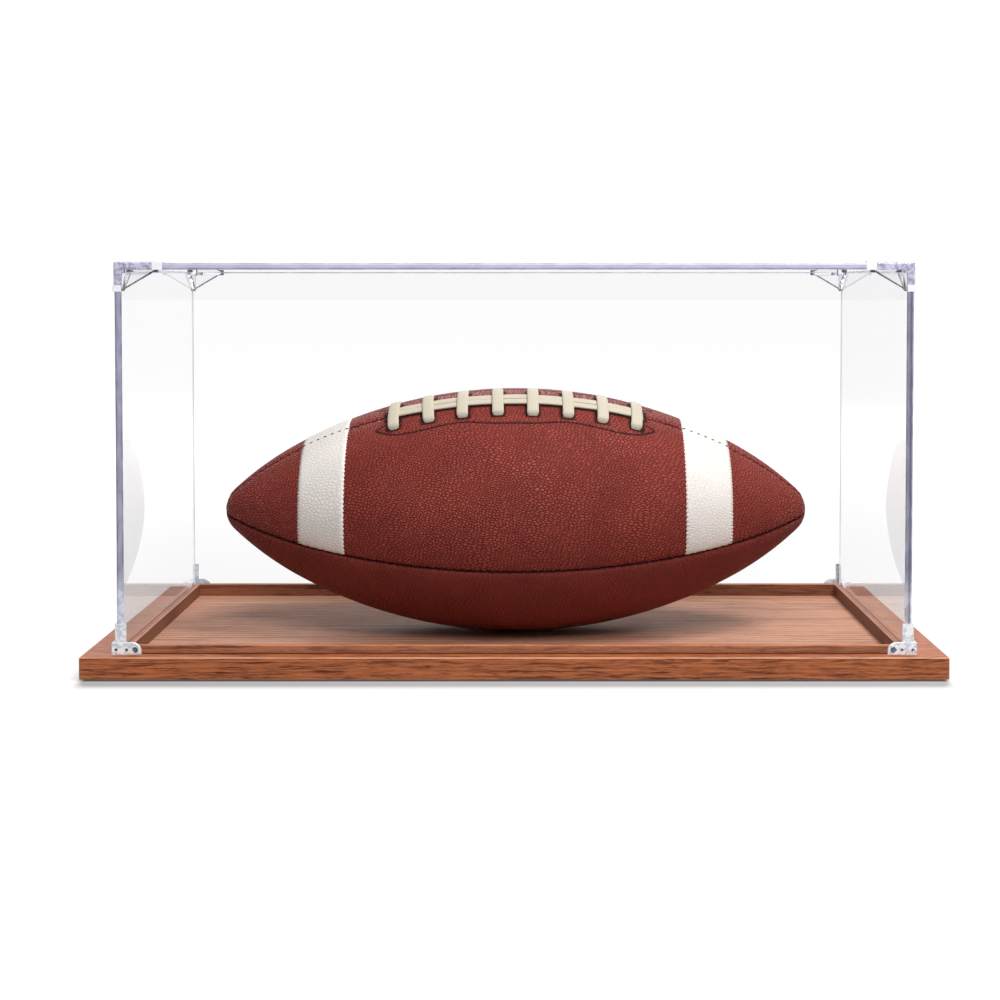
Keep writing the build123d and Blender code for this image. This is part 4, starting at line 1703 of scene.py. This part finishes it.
    def lay_hide(self, piece: Object, seams: Seams) -> None:
        """Store each point's place on the flat hide that its panel was cut from.

        Args:
            piece: A leather panel or a band on one.
            seams: The angles of the panel's two seams.
        """
        middle = sum(seams) / 2
        places = []
        for vertex in piece.data.vertices:
            offset = vertex.co - self.shape.center
            angle = math.degrees(math.atan2(offset.z, -offset.y))
            turn = math.radians(turn_between(angle, middle))
            places.extend((self.shape.run_at(offset.x), turn * math.hypot(offset.y, offset.z), 0.0))
        attribute = piece.data.attributes.new("hide_at", "FLOAT_VECTOR", "POINT")
        attribute.data.foreach_set("vector", places)

    def band(self, node: str, seams: Seams, sign: int) -> None:
        """Build one white band with saw-toothed long edges.

        Args:
            node: The CAD node that it replaces.
            seams: The angles of its panel's seams.
            sign: -1 for the left end, 1 for the right.
        """
        rows, steps = 16, 4
        columns = self.teeth * steps + 1
        root, feather = -0.3 * MM, 0.04 * MM
        flat_share, flat_relief = 0.15, 0.12
        inner, far = self.shape.run_at(self.band_inner), self.shape.run_at(self.band_outer)
        lace_first = seams[0] == self.lace_seam

        def skin(row: int, column: int, outer: bool) -> Vector:
            """Give a point of the thin shell."""
            share = column / (columns - 1)
            saw = abs((column / steps) % 1.0 - 0.5) * 2.0 * self.tooth
            run = inner + saw + (far - inner - 2 * saw) * row / (rows - 1)
            to_lace = share if lace_first else 1.0 - share
            depth = flat_relief if to_lace < flat_share else 1.0
            top = feather if row in (0, rows - 1) else self.band_lift
            return self.surface(sign * run, share, seams, top if outer else root, depth)

        coat = self.shell(node + "_coat", rows, columns, skin)
        self.lay_hide(coat, seams)
        self.wardrobe.dress(coat, Finish.BAND)
        settle(coat, "ball", "white_band", node)

    @staticmethod
    def strand(
        name: str, frame_at: Callable[[float], Ring], width: float, height: float, steps: int
    ) -> Object:
        """Sweep a flat rounded strand with closed, rounded ends.

        Args:
            name: The object's name.
            frame_at: Gives the centre, the direction across and the direction up, by share.
            width, height: The strand's full size.
            steps: Pieces along it.

        Returns:
            The strand.
        """
        around, end_rings, least = 20, 3, 0.08
        flat_sides, flat_top = 0.62, 0.8
        rings = []
        for i in range(steps + 1):
            center, across, up = frame_at(i / steps)
            from_end = min(i, steps - i) / end_rings
            taper = 1.0 if from_end >= 1 else max(least, math.sqrt(1 - (1 - from_end) ** 2))
            ring = []
            for k in range(around):
                turn = 2 * math.pi * k / around
                x = math.copysign(abs(math.cos(turn)) ** flat_sides, math.cos(turn)) * width / 2 * taper
                y = math.copysign(abs(math.sin(turn)) ** flat_top, math.sin(turn)) * height / 2 * taper
                ring.append(center + across * x + up * y)
            rings.append(ring)
        return tube(name, rings)

    def long_lace(self) -> None:
        """Build the doubled lace along the top seam."""
        shape, seam = self.shape, self.lace_seam
        reach = shape.run_at(self.strand_reach)

        def follow(share: float, side: int) -> Ring:
            """Follow the seam beside its middle, with a slight wave, and dip at the ends."""
            run, far = (2 * share - 1) * reach, abs(2 * share - 1)
            wave = self.wave * math.sin(run / self.wave_length + side)
            spread = self.strand_offset * (1 - self.pinch * far**12)
            angle = seam + shape.degrees_for(run, side * spread + wave)
            dip = self.strand_dip * max(0.0, (far - self.dip_from) / (1 - self.dip_from)) ** 2
            across = (shape.point(run, seam + 1) - shape.point(run, seam - 1)).normalized()
            return shape.point(run, angle, self.strand_seat - dip), across, shape.outward(run, seam)

        strands = [
            self.strand(
                "lace_strand", lambda share, side=side: follow(share, side),
                self.strand_width, self.strand_height, 110,
            )
            for side in (-1, 1)
        ]
        joined = join_objects("long_lace_strands", strands)
        self.wardrobe.dress(joined, Finish.LACE)
        settle(joined, "ball", "lace", "long_lace")

    def short_laces(self) -> None:
        """Build the eight short laces as one strap set along the seam."""
        bend = self.shape.radius

        def arch(share: float) -> Ring:
            """Arch over the long lace and dip into the leather at both ends."""
            angle = (2 * share - 1) * self.lace_span / bend
            far = abs(2 * share - 1)
            dip = self.tip_dip * max(0.0, (far - self.tip_from) / (1 - self.tip_from)) ** 2
            height = bend + (self.arch_rise - self.arch_sag * far**3 - dip)
            center = Vector((0.0, height * math.sin(angle), height * math.cos(angle) - bend))
            up = Vector((0.0, math.sin(angle), math.cos(angle)))
            return center, Vector((1.0, 0.0, 0.0)), up

        strap = self.strand("strap", arch, self.lace_width, self.lace_height, 44)
        reach, steps = self.shape.run_at(self.lace_reach), 60
        path = [
            (self.shape.point(run, self.lace_seam), self.shape.outward(run, self.lace_seam))
            for run in (reach * (2 * i / steps - 1) for i in range(steps + 1))
        ]
        laces = self.setter.run(
            "cross_lace_straps", path, strap, Count=self.laces, Lift=0.0, Turn_Spread=0.05,
            Size_Spread=0.015, Seed=5, Finish=self.wardrobe.get(Finish.LACE),
        )
        bpy.data.objects.remove(strap)
        settle(laces, "ball", "lace", "cross_laces")

    @staticmethod
    def stitch(length: float, width: float, height: float) -> Object:
        """Make one stitch: a short thread that dips at both ends.

        Args:
            length, width, height: Its size.

        Returns:
            The stitch, to be set along a path.
        """
        steps, around, rings = 5, 6, []
        for i in range(steps + 1):
            share = i / steps
            thick = width / 2 * math.sqrt(max(0.02, math.sin(math.pi * (0.08 + 0.84 * share))))
            middle = Vector(((share - 0.5) * length, 0.0, height * (math.sin(math.pi * share) - 0.7)))
            turns = [2 * math.pi * k / around for k in range(around)]
            rings.append([middle + Vector((0, math.cos(t) * thick, math.sin(t) * thick)) for t in turns])
        return tube("stitch", rings)

    def stitched_line(
        self, name: str, path: Sequence[Spot], finish: Finish, pitch: float, size: Place, seed: int
    ) -> None:
        """Set a row of stitches along a line.

        Args:
            name: The row's name.
            path: Its points with the outward directions.
            finish: The thread's finish.
            pitch: The stitches' spacing.
            size: Each stitch's length, width and arch.
            seed: Seed for their small differences.
        """
        total = sum((b[0] - a[0]).length for a, b in zip(path, path[1:]))
        one = self.stitch(*size)
        row = self.setter.run(
            name, path, one, Count=max(2, round(total / pitch)), Lift=0.1 * MM, Turn_Spread=0.05,
            Size_Spread=0.08, Seed=seed, Finish=self.wardrobe.get(finish),
        )
        bpy.data.objects.remove(one)
        settle(row, "ball", "lace")

    def stitches(self) -> None:
        """Sew the outline round the laces and the dashes across the white bands."""
        shape, seam = self.shape, self.lace_seam
        for side, sign in (("front", -1), ("rear", 1)):
            path = []
            for x, gap in self.outline.line():
                run = shape.run_at(x)
                angle = seam + sign * shape.degrees_for(run, gap)
                path.append((shape.point(run, angle, -0.1 * MM), shape.outward(run, angle)))
            size = (1.5 * MM, 0.5 * MM, 0.22 * MM)
            self.stitched_line(f"lace_outline_{side}", path, Finish.THREAD, 2.0 * MM, size, seed=11)
        inset, steps = 1.2 * MM, 12
        low, high = shape.run_at(self.band_inner + inset), shape.run_at(self.band_outer - inset)
        for end, sign in (("left", -1), ("right", 1)):
            runs = [sign * (low + (high - low) * i / steps) for i in range(steps + 1)]
            path = [(shape.point(run, seam, 0.12 * MM), shape.outward(run, seam)) for run in runs]
            size = (1.6 * MM, 0.62 * MM, 0.3 * MM)
            self.stitched_line(f"band_seam_{end}", path, Finish.DARK_THREAD, 3.5 * MM, size, seed=3)


def join_objects(name: str, parts: Sequence[Object]) -> Object:
    """Join mesh objects at the origin into one.

    Args:
        name: The result's name.
        parts: The objects, which are removed.

    Returns:
        The joined object.
    """
    work = bmesh.new()
    for part in parts:
        work.from_mesh(part.data)
    mesh = bpy.data.meshes.new(name)
    work.to_mesh(mesh)
    work.free()
    for part in parts:
        bpy.data.objects.remove(part)
    smooth(mesh)
    return add_object(name, mesh)


# Studio


@dataclass
class PhotoCamera:
    """The photograph's view: where its camera stood and where its axis meets the picture.

    Attributes:
        focal_px, axis_x_px, axis_y_px, frame_px: Focal length, the axis's place in the picture and
            the picture's side, in pixels.
        offset, distance, height: The camera's place right of the middle, ahead of the front sheet
            and above the slab.
        pitch: How far it looks down, in radians.
    """

    focal_px: float = 1777.0
    axis_x_px: float = 530.5
    axis_y_px: float = 351.6
    frame_px: float = 1000.0
    offset: float = 7.5 * MM
    distance: float = 821.6 * MM
    height: float = 169.6 * MM
    pitch: float = 0.035

    def build(self) -> None:
        """Add the camera and make it the scene's own."""
        data = bpy.data.cameras.new("Photo camera")
        data.sensor_fit = "HORIZONTAL"
        data.sensor_width = 36.0
        data.lens = self.focal_px / self.frame_px * data.sensor_width
        data.shift_x = 0.5 - self.axis_x_px / self.frame_px
        data.shift_y = self.axis_y_px / self.frame_px - 0.5
        data.clip_start = 0.01
        camera = bpy.data.objects.new("Photo camera", data)
        bpy.context.scene.collection.objects.link(camera)
        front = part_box("panel_front")[0]
        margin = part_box("base_board")[1].z
        camera.location = (self.offset, front.y - self.distance, margin + self.height)
        camera.rotation_euler = (math.pi / 2 - self.pitch, 0.0, 0.0)
        bpy.context.scene.camera = camera


@dataclass
class Studio:
    """Pale floor, plain world and soft lamps.

    Attributes:
        floor_half, floor_tone: The floor's half side and its tone for bounced light.
        world_level: The world's light, where it isn't seen as the background.
        near_lift, far_lift, near, far, least_lift: The floor's own glow near the case and far from
            it, the distances that this goes by, and the least that shade leaves.
        shade_depth, shade_width, shade_fall: How much of the glow the painted shadow ahead of the
        base holds back, its width and how fast it fades over that.
        shade_rear: Where the strip starts under the base, as shares of the base's half depth.
        shade_ends: Where the strip ends beside the base, from the base's own end.
        lamps: Each lamp's name, place, side in metres and power in watts.
        aim: The place that every lamp faces.
    """

    floor_half: float = 30.0
    floor_tone: float = 0.35
    world_level: float = 0.16
    near_lift: float = 0.66
    far_lift: float = 1.0
    near: float = 0.12
    far: float = 1.3
    least_lift: float = 0.08
    shade_depth: float = 1.0
    shade_width: float = 25.0 * MM
    shade_fall: float = 1.9
    shade_rear: tuple[float, float] = (-0.5, -0.4)
    shade_ends: tuple[float, float] = (-6.0 * MM, 3.0 * MM)
    lamps: tuple[tuple[str, Place, float, float], ...] = (
        ("Key softbox", (0.5, -0.36, 1.2), 0.36, 11.5),
        ("Front softbox", (0.24, -1.15, 1.25), 0.8, 19.0),
        ("Rear softbox", (0.0, 1.5, 0.9), 0.8, 7.0),
    )
    aim: Place = (0.0, 0.0, 0.06)

    def build(self) -> None:
        """Build the floor, the world and the lamps."""
        bpy.context.scene.view_settings.view_transform = "Standard"
        self.floor()
        self.world()
        for name, place, size, power in self.lamps:
            self.lamp(name, place, size, power)

    def floor(self) -> None:
        """Lay a white floor that keeps the case's shadow."""
        h = self.floor_half
        corners = [Vector((x, y, 0.0)) for x, y in ((-h, -h), (h, -h), (h, h), (-h, h))]
        floor = mesh_object("studio_floor", corners, [(0, 1, 2, 3)])
        tone = self.floor_tone
        material, g, shader, place = blank_material(
            "Studio floor", Base_Color=(tone, tone, tone, 1), Roughness=0.9, Specular_IOR_Level=0.0,
            Emission_Color=(1, 1, 1, 1),
        )
        lift = g.span(g.length(place), self.near, self.far, self.near_lift, self.far_lift)
        lift = g.math("MAXIMUM", g.math("SUBTRACT", lift, self.shade(g, place)), self.least_lift)
        g.feed(shader.inputs["Emission Strength"], g.math("MULTIPLY", self.seen(g), lift))
        floor.data.materials.append(material)

    def shade(self, g: Graph, place: NodeSocket) -> NodeSocket:
        """Paint a shadow on the strip in front of the base by holding back the floor's glow there.

        Args:
            g: The floor's graph.
            place: The object coordinates.

        Returns:
            How much of the glow is held back.
        """
        low, high = CAD_BOX
        x, y, _ = g.split(place)
        ahead = g.math("SUBTRACT", low[1], y)
        strip = g.math("POWER", g.span(ahead, 0.0, self.shade_width, 1.0, 0.0), self.shade_fall)
        rear = g.span(ahead, *(share * high[1] for share in self.shade_rear))
        strip = g.math("MULTIPLY", strip, rear)
        ends = (high[0] + past for past in self.shade_ends)
        inside = g.span(g.math("ABSOLUTE", x), *ends, 1.0, 0.0)
        return g.math("MULTIPLY", g.math("MULTIPLY", strip, inside), self.shade_depth)

    @staticmethod
    def seen(g: Graph) -> NodeSocket:
        """Tell whether a ray shows the background: to the camera, mirrored or through glass."""
        path = g.add("ShaderNodeLightPath").outputs
        either = g.math("MAXIMUM", path["Is Camera Ray"], path["Is Glossy Ray"])
        return g.math("MAXIMUM", either, path["Is Transmission Ray"])

    def world(self) -> None:
        """Light the scene evenly, with a white background."""
        world = bpy.data.worlds.new("Studio world")
        bpy.context.scene.world = world
        world.use_nodes = True
        world.node_tree.nodes.clear()
        g = Graph(world.node_tree)
        level = g.add("ShaderNodeMapRange", {0: self.seen(g), 3: self.world_level, 4: 1.0}).outputs[0]
        background = g.add("ShaderNodeBackground", {"Color": (1, 1, 1, 1), "Strength": level})
        output = g.add("ShaderNodeOutputWorld")
        g.feed(output.inputs["Surface"], background.outputs[0])

    def lamp(self, name: str, place: Place, size: float, power: float) -> None:
        """Add a soft lamp.

        Args:
            name: The lamp's name.
            place: Where it is.
            size: The side of its square, in metres.
            power: Its power, in watts.
        """
        data = bpy.data.lights.new(name, "AREA")
        data.shape = "SQUARE"
        data.size = size
        data.energy = power
        lamp = bpy.data.objects.new(name, data)
        lamp.location = place
        lamp.rotation_euler = (Vector(self.aim) - Vector(place)).to_track_quat("-Z", "Y").to_euler()
        bpy.context.scene.collection.objects.link(lamp)


def main() -> None:
    """Build the studio and each sub-assembly, in order."""
    logging.basicConfig(level=logging.INFO, format="%(name)s: %(message)s")
    wardrobe = Wardrobe()
    setter = PathSetter()
    PhotoCamera().build()
    Studio().build()
    WoodenBase(wardrobe).build()
    ClearCover(wardrobe).build()
    LacedBall(wardrobe, setter).build()


if __name__ == "__main__":
    main()
